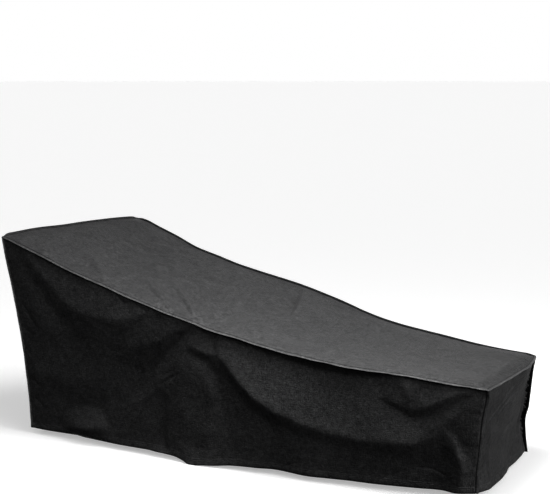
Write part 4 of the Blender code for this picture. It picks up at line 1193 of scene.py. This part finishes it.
def cloth_piece(name, sheet, flat, down, edges, outward, material, tone=None):
    """One panel as it shows: a fine outer face, a plainer inner face, and the turned edges along its seams."""
    nu, nv = sheet.shape[:2]
    closed = bool(edges[3])
    walk = rim_walk(nu, nv, edges)
    ways, tips = rim_ways(sheet, walk, edges, 0), rim_ways(sheet, walk, edges, 1)
    start = np.array([sheet[i, j] for i, j, _ in walk])
    uv0 = np.array([flat[i, j] for i, j, _ in walk])
    uv_out = np.array([flat[min(max(i, 1), nu - 2), min(max(j, 1), nv - 2)] for i, j, _ in walk])
    uv_way = unit(uv0 - uv_out)
    rings = len(RINGS) - 1
    turned = [start]
    for a, b in zip(RINGS[:-1], RINGS[1:]):
        turned.append(turned[-1] + (b - a) * unit(mix(ways, tips, 0.5 * (a + b) / RINGS[-1])))
    points = np.concatenate([sheet.reshape(-1, 3)] + turned[1:])
    uvs = np.concatenate([flat.reshape(-1, 2)] + [uv0 + w * uv_way for w in RINGS[1:]])
    quads, loop, number, ring = layout(nu, nv, walk, rings, closed)
    normals, lean = vertex_normals(points, quads)
    sign = 1.0 if (normals[number[nu // 2, nv // 2]] * np.array(outward)).sum() > 0 else -1.0
    if sign < 0:
        normals = -normals
        quads = quads[:, ::-1]

    # What stands off the sheet on its outer face only: the doubled hem, the pull of the stitching, rounded edges.
    relief = np.zeros(len(points))
    length = np.zeros((nu, nv))
    if not closed:
        to_hem = (1 - down) * np.linalg.norm(sheet[:, 0] - sheet[:, -1], axis=1)[:, None]
        along = flat[..., 0]
        band = 1 - ease(HEM_BAND - 0.0004, HEM_BAND + 0.0012, to_hem)
        ropes = waves(along + 0.8 * to_hem, to_hem * 0.3, 0.016, 71) + 0.6 * waves(along - 0.5 * to_hem, to_hem, 0.031, 72)
        relief[:nu * nv] += (band * (0.0007 + 0.00055 * ropes * ease(0.0, 0.006, to_hem) * (1 - ease(0.016, 0.021, to_hem)))
                             - 0.0006 * np.exp(-((to_hem - 0.0208) / 0.0011) ** 2)
                             - 0.0003 * (1 - ease(0.0, 0.0012, to_hem))).ravel()
    for r in range(1, rings + 1):
        w = RINGS[r]
        groove = -0.0004 * math.exp(-((w - RINGS[4]) / 0.0009) ** 2)
        puff = 0.0006 * math.exp(-((w - 0.0040) / 0.0024) ** 2)
        edge = -0.0004 if r == rings else 0.0
        relief[ring[r]] = groove + puff + edge
    relief[ring[0]] -= SEAM_GROOVE
    painted_light = np.ones(len(points))
    # Painted light and shade, laid into the colour through the "tone" UV layer: tone is the sheet's own painted shade,
    # given by the caller.
    if tone is not None:
        painted_light[:nu * nv] = tone.ravel()
    roots, ends = seam_painted_light(walk, edges, 0), seam_painted_light(walk, edges, 1)
    # Painted shade along the seam line itself, as if in a shaded groove.
    painted_light[ring[0]] = 0.55 * np.minimum(roots, 1)
    # Each turned edge gets its painted highlight or painted shade, from its root to its tip.
    for r in range(1, rings + 1):
        painted_light[ring[r]] = mix(roots, ends, float(ease(0.3, 0.9, RINGS[r] / RINGS[-1])))

    outer = points + normals * ((SEAM_GAP + CLOTH + relief) / lean)[:, None]

    # The inner face keeps every second row and column, and every second ring.
    keep_i, keep_j = np.arange(0, nu, 2), np.arange(0, nv, 2)
    coarse_walk = [(i // 2, j // 2, e) for i, j, e in walk[::2]]
    kept = [number[np.ix_(keep_i, keep_j)].ravel()] + [ring[r][::2] for r in range(2, rings + 1, 2)]
    kept = np.concatenate(kept)
    inner = points[kept] + normals[kept] * (SEAM_GAP / lean[kept])[:, None]
    c_quads, c_loop, _, _ = layout(len(keep_i), len(keep_j), coarse_walk, rings // 2, closed)
    if sign > 0:
        c_quads = c_quads[:, ::-1]
    base = len(outer)

    # The open edge: a fan of three triangles for each inner step and its two outer steps.
    f, c = loop, c_loop + base
    n = len(c)
    f0, f1, f2 = f[0::2], f[1::2], np.roll(f, -2)[0::2]
    c0, c1 = c, np.roll(c, -1)
    rim = np.concatenate((np.stack((c0, f0, f1), 1), np.stack((c0, f1, c1), 1), np.stack((c1, f1, f2), 1)))
    if sign > 0:
        rim = rim[:, ::-1]

    verts = np.concatenate((outer, inner)) - MIDDLE
    uv_all = np.concatenate((uvs, uvs[kept]))
    data = bpy.data.meshes.new(name)
    loops = np.concatenate((quads.ravel(), (c_quads + base).ravel(), rim.ravel())).astype(np.int32)
    sizes = np.concatenate((np.full(len(quads) + len(c_quads), 4), np.full(len(rim), 3))).astype(np.int32)
    starts = np.concatenate(([0], np.cumsum(sizes)[:-1])).astype(np.int32)
    data.vertices.add(len(verts))
    data.vertices.foreach_set("co", verts.astype(np.float32).ravel())
    data.loops.add(len(loops))
    data.loops.foreach_set("vertex_index", loops)
    data.polygons.add(len(sizes))
    data.polygons.foreach_set("loop_start", starts)
    data.polygons.foreach_set("loop_total", sizes)
    layer = data.uv_layers.new(name="cloth")
    layer.data.foreach_set("uv", uv_all[loops].astype(np.float32).ravel())
    # The "tone" UV layer carries the painted light and shade to the material.
    painted_light_all = np.concatenate((painted_light, painted_light[kept]))
    layer = data.uv_layers.new(name="tone")
    layer.data.foreach_set("uv", np.stack((painted_light_all[loops], 0 * painted_light_all[loops]), 1).astype(np.float32).ravel())
    data.update(calc_edges=True)
    data.validate()
    data.shade_smooth()
    data.set_sharp_from_angle(angle=math.radians(32))
    data.materials.append(material)
    obj = bpy.data.objects.new(name + "_cloth", data)
    bpy.context.scene.collection.objects.link(obj)
    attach(obj, "root")
    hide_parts(name)
    lines = {"ring": outer[ring[4]], "ways": ways, "normals": normals[ring[4]], "closed": closed}
    if not closed:
        row = nv - 1 - AT_HEM.index(0.0208)
        lines["hem"] = outer[number[:, row]]
        lines["hem_normals"] = normals[number[:, row]]
    return obj, lines


def thread_piece(name, lines, material):
    """A row of stitches along each line: short rounded bars of thread, half sunk in the cloth."""
    verts, faces = [], []
    for points, normals, loop in lines:
        if loop:
            points, normals = np.concatenate((points, points[:1])), np.concatenate((normals, normals[:1]))
        along = np.concatenate(([0], np.cumsum(np.linalg.norm(np.diff(points, axis=0), axis=1))))
        count = int(along[-1] / STITCH_PITCH)
        at = (np.arange(count) + 0.5) * along[-1] / count
        for k in range(count):
            row = []
            for f, thick, sink in ((-0.5, 0.35, -0.9), (-0.28, 1.0, 0.15), (0.28, 1.0, 0.15), (0.5, 0.35, -0.9)):
                place = np.array([np.interp(at[k] + f * STITCH, along, points[:, c]) for c in range(3)])
                row.append((place, thick, sink))
            normal = unit(np.array([np.interp(at[k], along, normals[:, c]) for c in range(3)]))
            way = unit(row[2][0] - row[1][0])
            side = unit(np.cross(normal, way))
            first = len(verts)
            for place, thick, sink in row:
                centre = place + normal * THREAD * sink
                for x, y in ((-1.0, -0.3), (-0.55, 0.75), (0.55, 0.75), (1.0, -0.3)):
                    verts.append(centre + THREAD * thick * (side * x * 1.15 + normal * y))
            for r in range(3):
                for c in range(4):
                    a, b = first + 4 * r + c, first + 4 * r + (c + 1) % 4
                    faces.append((a, b, b + 4, a + 4))
            faces.append((first + 3, first + 2, first + 1, first))
            faces.append((first + 12, first + 13, first + 14, first + 15))
    data = bpy.data.meshes.new(name)
    data.from_pydata([tuple(v) for v in np.array(verts) - MIDDLE], [], faces)
    data.update()
    data.shade_smooth()
    data.materials.append(material)
    obj = bpy.data.objects.new(name, data)
    bpy.context.scene.collection.objects.link(obj)
    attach(obj, "root")
    return obj


# ---------------------------------------------------------------- materials


def node(tree, kind, **values):
    made = tree.nodes.new(kind)
    for key, value in values.items():
        if key in made.inputs:
            made.inputs[key].default_value = value
        else:
            setattr(made, key, value)
    return made


def maths(tree, kind, a, b=None):
    made = tree.nodes.new("ShaderNodeMath")
    made.operation = kind
    for socket, value in zip(made.inputs, (a, b)):
        if value is None:
            continue
        if isinstance(value, (int, float)):
            socket.default_value = value
        else:
            tree.links.new(value, socket)
    return made.outputs[0]


def coated_cloth():
    """Near-black woven polyester with a thin coat: a plain weave 0.7 mm apart, faint mottling, and a dry sheen."""
    material = bpy.data.materials.new("coated_cloth")
    material.use_nodes = True
    tree = material.node_tree
    shader = tree.nodes["Principled BSDF"]
    link = tree.links.new
    uv = node(tree, "ShaderNodeUVMap", uv_map="cloth")
    split = node(tree, "ShaderNodeSeparateXYZ")
    link(uv.outputs["UV"], split.inputs[0])

    # The weave: warp and weft threads, each over and under in turn.
    pitch = 2 * math.pi / 0.0014
    warp = maths(tree, "SINE", maths(tree, "MULTIPLY", split.outputs["X"], pitch))
    weft = maths(tree, "SINE", maths(tree, "MULTIPLY", split.outputs["Y"], pitch))
    over = maths(tree, "MULTIPLY", warp, weft)

    # Slubs: some threads are thicker, along and across.
    slub_x = node(tree, "ShaderNodeTexNoise", noise_dimensions="3D", Scale=1.0, Detail=1.0)
    slub_y = node(tree, "ShaderNodeTexNoise", noise_dimensions="3D", Scale=1.0, Detail=1.0)
    for slub, scale in ((slub_x, (900.0, 30.0, 1.0)), (slub_y, (30.0, 900.0, 1.0))):
        shape = node(tree, "ShaderNodeMapping")
        shape.inputs["Scale"].default_value = scale
        link(uv.outputs["UV"], shape.inputs["Vector"])
        link(shape.outputs["Vector"], slub.inputs["Vector"])
    slubs = maths(tree, "ADD", slub_x.outputs["Fac"], slub_y.outputs["Fac"])

    # Fine rumpling of the cloth, too small for its folds.
    place = node(tree, "ShaderNodeTexCoord")
    rumple = node(tree, "ShaderNodeTexNoise", Scale=70.0, Detail=3.0, Roughness=0.55)
    link(place.outputs["Object"], rumple.inputs["Vector"])
    mottle = node(tree, "ShaderNodeTexNoise", Scale=22.0, Detail=4.0, Roughness=0.6)
    link(place.outputs["Object"], mottle.inputs["Vector"])

    bump_broad = node(tree, "ShaderNodeBump", Strength=0.35, Distance=0.004)
    link(rumple.outputs["Fac"], bump_broad.inputs["Height"])
    bump_slub = node(tree, "ShaderNodeBump", Strength=0.5, Distance=0.00025)
    link(slubs, bump_slub.inputs["Height"])
    link(bump_broad.outputs["Normal"], bump_slub.inputs["Normal"])
    bump_weave = node(tree, "ShaderNodeBump", Strength=0.55, Distance=0.00016)
    link(over, bump_weave.inputs["Height"])
    link(bump_slub.outputs["Normal"], bump_weave.inputs["Normal"])

    # What shows from a few steps away: bundles of uneven threads both ways, and a fine grain.
    bundles = []
    for scale in ((300.0, 42.0, 1.0), (42.0, 300.0, 1.0)):
        shape = node(tree, "ShaderNodeMapping")
        shape.inputs["Scale"].default_value = scale
        link(uv.outputs["UV"], shape.inputs["Vector"])
        bundle = node(tree, "ShaderNodeTexNoise", Scale=1.0, Detail=2.0, Roughness=0.6)
        link(shape.outputs["Vector"], bundle.inputs["Vector"])
        bundles.append(bundle.outputs["Fac"])
    grain = node(tree, "ShaderNodeTexNoise", Scale=210.0, Detail=3.0, Roughness=0.7)
    link(place.outputs["Object"], grain.inputs["Vector"])
    uneven = maths(tree, "ADD", maths(tree, "ADD", *bundles), maths(tree, "MULTIPLY", grain.outputs["Fac"], 1.6))
    bump_uneven = node(tree, "ShaderNodeBump", Strength=0.8, Distance=0.0016)
    link(uneven, bump_uneven.inputs["Height"])
    link(bump_weave.outputs["Normal"], bump_uneven.inputs["Normal"])
    link(bump_uneven.outputs["Normal"], shader.inputs["Normal"])
    blotch = node(tree, "ShaderNodeTexNoise", Scale=75.0, Detail=2.0, Roughness=0.5)
    link(place.outputs["Object"], blotch.inputs["Vector"])
    uneven = maths(tree, "ADD", uneven, maths(tree, "MULTIPLY", blotch.outputs["Fac"], 1.2))
    speck = node(tree, "ShaderNodeMapRange")
    for key, value in (("From Min", 1.85), ("From Max", 2.95), ("To Min", 0.62), ("To Max", 1.38)):
        speck.inputs[key].default_value = value
    link(uneven, speck.inputs["Value"])

    tone = node(tree, "ShaderNodeMapRange")
    for key, value in (("From Min", 0.3), ("From Max", 0.7), ("To Min", 0.0), ("To Max", 1.0)):
        tone.inputs[key].default_value = value
    link(mottle.outputs["Fac"], tone.inputs["Value"])
    colour = node(tree, "ShaderNodeMix", data_type="RGBA")
    colour.inputs["A"].default_value = (0.0125, 0.0125, 0.0130, 1)
    colour.inputs["B"].default_value = (0.0165, 0.0165, 0.0170, 1)
    link(tone.outputs["Result"], colour.inputs["Factor"])
    # Painted light and shade from the "tone" UV layer: it scales the colour, the specular and the sheen, lighter on
    # turned edges that stand out to the front, darker on seam lines and in the foot end's furrow.
    painted_light_uv = node(tree, "ShaderNodeUVMap", uv_map="tone")
    painted_light_part = node(tree, "ShaderNodeSeparateXYZ")
    link(painted_light_uv.outputs["UV"], painted_light_part.inputs[0])
    light = maths(tree, "MULTIPLY", speck.outputs["Result"], painted_light_part.outputs["X"])
    specked = node(tree, "ShaderNodeVectorMath", operation="SCALE")
    link(colour.outputs["Result"], specked.inputs[0])
    link(light, specked.inputs["Scale"])
    link(specked.outputs["Vector"], shader.inputs["Base Color"])
    dry = node(tree, "ShaderNodeMapRange")
    for key, value in (("From Min", 0.3), ("From Max", 0.7), ("To Min", 0.28), ("To Max", 0.42)):
        dry.inputs[key].default_value = value
    link(mottle.outputs["Fac"], dry.inputs["Value"])
    gloss = maths(tree, "MULTIPLY", maths(tree, "POWER", light, 1.8), dry.outputs["Result"])
    link(gloss, shader.inputs["Specular IOR Level"])
    link(maths(tree, "MULTIPLY", light, 0.04), shader.inputs["Sheen Weight"])
    rough = node(tree, "ShaderNodeMapRange")
    for key, value in (("From Min", 0.3), ("From Max", 0.7), ("To Min", 0.50), ("To Max", 0.58)):
        rough.inputs[key].default_value = value
    link(mottle.outputs["Fac"], rough.inputs["Value"])
    link(rough.outputs["Result"], shader.inputs["Roughness"])
    shader.inputs["Metallic"].default_value = 0.0
    shader.inputs["Sheen Roughness"].default_value = 0.45
    shader.inputs["Sheen Tint"].default_value = (1.0, 1.0, 1.0, 1.0)
    return material


def sewing_thread():
    """Black polyester thread, a little shinier than the cloth, with its twist."""
    material = bpy.data.materials.new("sewing_thread")
    material.use_nodes = True
    tree = material.node_tree
    shader = tree.nodes["Principled BSDF"]
    place = node(tree, "ShaderNodeTexCoord")
    twist = node(tree, "ShaderNodeTexWave", Scale=900.0, Distortion=0.5)
    twist.bands_direction = "DIAGONAL"
    tree.links.new(place.outputs["Object"], twist.inputs["Vector"])
    bump = node(tree, "ShaderNodeBump", Strength=0.5, Distance=0.0001)
    tree.links.new(twist.outputs["Fac"], bump.inputs["Height"])
    tree.links.new(bump.outputs["Normal"], shader.inputs["Normal"])
    shader.inputs["Base Color"].default_value = (0.016, 0.016, 0.017, 1)
    shader.inputs["Roughness"].default_value = 0.45
    shader.inputs["Specular IOR Level"].default_value = 0.4
    return material


def pale_floor():
    material = bpy.data.materials.new("pale_floor")
    material.use_nodes = True
    tree = material.node_tree
    shader = tree.nodes["Principled BSDF"]
    shader.inputs["Base Color"].default_value = (0.90, 0.90, 0.90, 1)
    shader.inputs["Roughness"].default_value = 0.9
    shader.inputs["Specular IOR Level"].default_value = 0.0
    shader.inputs["Emission Color"].default_value = (1, 1, 1, 1)
    shader.inputs["Emission Strength"].default_value = 0.40
    return material


# ---------------------------------------------------------------- the cover

cloth = coated_cloth()
thread = sewing_thread()

near = side_panel("side_near", NEAR_SEAM, NEAR_HEM, head_near, foot_near, NEAR_LINES, (), NEAR_CREASES, 100, -1)
far = side_panel("side_far", FAR_SEAM, FAR_HEM, head_far, foot_far, FAR_SWAGS, FAR_FOLDS, {}, 200, 1)
top = top_panel()
foot = end_panel("foot_end", FOOT_LINE, FOOT_HEM, foot_near, foot_far, FOOT_BOW, FOOT_FOLDS, FOOT_CREASES, 400, 1, FOOT_FURROW)
head = end_panel("head_end", HEAD_LINE, HEAD_HEM, head_near, head_far, HEAD_BOW, HEAD_FOLDS, {}, 500, -1)

PANELS = (
    # name, sheet, edges, outward, flat width, flat length, flat area
    ("top_panel", top, ("head_top", "near_top", "foot_top", "far_top"), (0, 0, 1), 0.86, 2.22, 1.75),
    ("side_near", near, ("head_near", "near_top", "foot_near", None), (0, -1, 0), 0.86, 2.18, 1.20),
    ("side_far", far, ("head_far", "far_top", "foot_far", None), (0, 1, 0), 0.86, 2.02, 1.15),
    ("foot_end", foot, ("foot_near", "foot_top", "foot_far", None), (1, 0, 0), 0.42, 0.75, 0.27),
    ("head_end", head, ("head_near", "head_top", "head_far", None), (-1, 0, 0), 0.86, 0.87, 0.74),
)
# Painted shade for the wall of the foot end's furrow, passed on as the panel's tone.
PAINTED_SHADE = {"foot_end": furrow_painted_shade(FOOT_FURROW, foot[1][..., 1], (1 - T[:, None] + 0 * foot[2]) * 0.75)}
for name, (sheet, flat, down), edges, outward, wide, long, area in PANELS:
    piece, lines = cloth_piece(name, sheet, flat, down, edges, outward, cloth, PAINTED_SHADE.get(name))
    rows = [(lines["ring"], lines["normals"], lines["closed"])]
    if "hem" in lines:
        rows.append((lines["hem"], lines["hem_normals"], False))
    threads = thread_piece(name + "_stitching", rows, thread)

# ---------------------------------------------------------------- floor, light and camera

bpy.ops.mesh.primitive_circle_add(vertices=96, radius=300.0, fill_type="NGON", location=(0, 0, -0.0005))
floor = bpy.context.object
floor.name = "floor"
floor.data.materials.append(pale_floor())
floor.visible_diffuse = False
floor.visible_glossy = False


# The soft lamps round the cover: how high and which way each stands, in degrees, and how strong it is.
LAMPS = (
    # high, way,  strength
    (55.0, 270.0, 1.02),    # above the near side
    (25.0, 0.0, 3.65),      # past the foot
    (20.0, 225.0, 0.10),    # low towards the near head corner
    (-15.0, 120.0, 0.98),   # what the ground throws back
)
# The discs of light that hang over it and face straight down.
DISCS = (
    # x,    y,     z,    wide, watts
    (0.00, -0.20, 2.00, 1.00, 20.8),
    (0.40, -0.20, 2.30, 1.10, 20.3),
    (0.70, 0.00, 1.80, 0.90, 15.8),
)


def studio_light():
    """Broad soft lamps all round, and a plain pale backdrop."""
    world = bpy.data.worlds.new("studio")
    bpy.context.scene.world = world
    world.use_nodes = True
    tree = world.node_tree
    tree.nodes.clear()
    link = tree.links.new
    place = node(tree, "ShaderNodeTexCoord")
    total = 0.004
    for high, way, strength in LAMPS:
        a, b = math.radians(high), math.radians(way)
        dot = node(tree, "ShaderNodeVectorMath", operation="DOT_PRODUCT")
        link(place.outputs["Generated"], dot.inputs[0])
        dot.inputs[1].default_value = (math.cos(a) * math.cos(b), math.cos(a) * math.sin(b), math.sin(a))
        ramp = node(tree, "ShaderNodeMapRange", interpolation_type="SMOOTHSTEP")
        for key, value in (("From Min", math.cos(math.radians(42))), ("From Max", math.cos(math.radians(4))),
                           ("To Min", 0.0), ("To Max", strength)):
            ramp.inputs[key].default_value = value
        link(dot.outputs["Value"], ramp.inputs["Value"])
        total = maths(tree, "ADD", ramp.outputs["Result"], total)
    light = node(tree, "ShaderNodeBackground")
    link(total, light.inputs["Strength"])
    light.inputs["Color"].default_value = (1, 1, 1, 1)
    plain = node(tree, "ShaderNodeBackground")
    plain.inputs["Color"].default_value = (1, 1, 1, 1)
    plain.inputs["Strength"].default_value = BACKDROP
    ray = node(tree, "ShaderNodeLightPath")
    both = node(tree, "ShaderNodeMixShader")
    link(ray.outputs["Is Camera Ray"], both.inputs[0])
    link(light.outputs[0], both.inputs[1])
    link(plain.outputs[0], both.inputs[2])
    out = node(tree, "ShaderNodeOutputWorld")
    link(both.outputs[0], out.inputs["Surface"])


studio_light()

for number, (x, y, z, wide, watts) in enumerate(DISCS):
    lamp_data = bpy.data.lights.new(f"disc_{number}", "AREA")
    lamp_data.shape = "DISK"
    lamp_data.size = wide
    lamp_data.energy = watts
    lamp = bpy.data.objects.new(f"disc_{number}", lamp_data)
    bpy.context.scene.collection.objects.link(lamp)
    lamp.location = (x, y, z)
bpy.context.scene.view_settings.view_transform = "Standard"

camera = bpy.data.objects.new("camera", bpy.data.cameras.new("camera"))
bpy.context.scene.collection.objects.link(camera)
camera.data.sensor_width = 36.0
camera.data.lens = 82.535
camera.data.clip_end = 1000.0
camera.location = Vector((2.43797, -4.58719, 1.51270)) - Vector(MIDDLE)
aim = Vector((0.002, 0.0, 0.804)) - Vector(MIDDLE)
camera.rotation_mode = "QUATERNION"
camera.rotation_quaternion = (aim - camera.location).to_track_quat("-Z", "Y")
bpy.context.scene.camera = camera
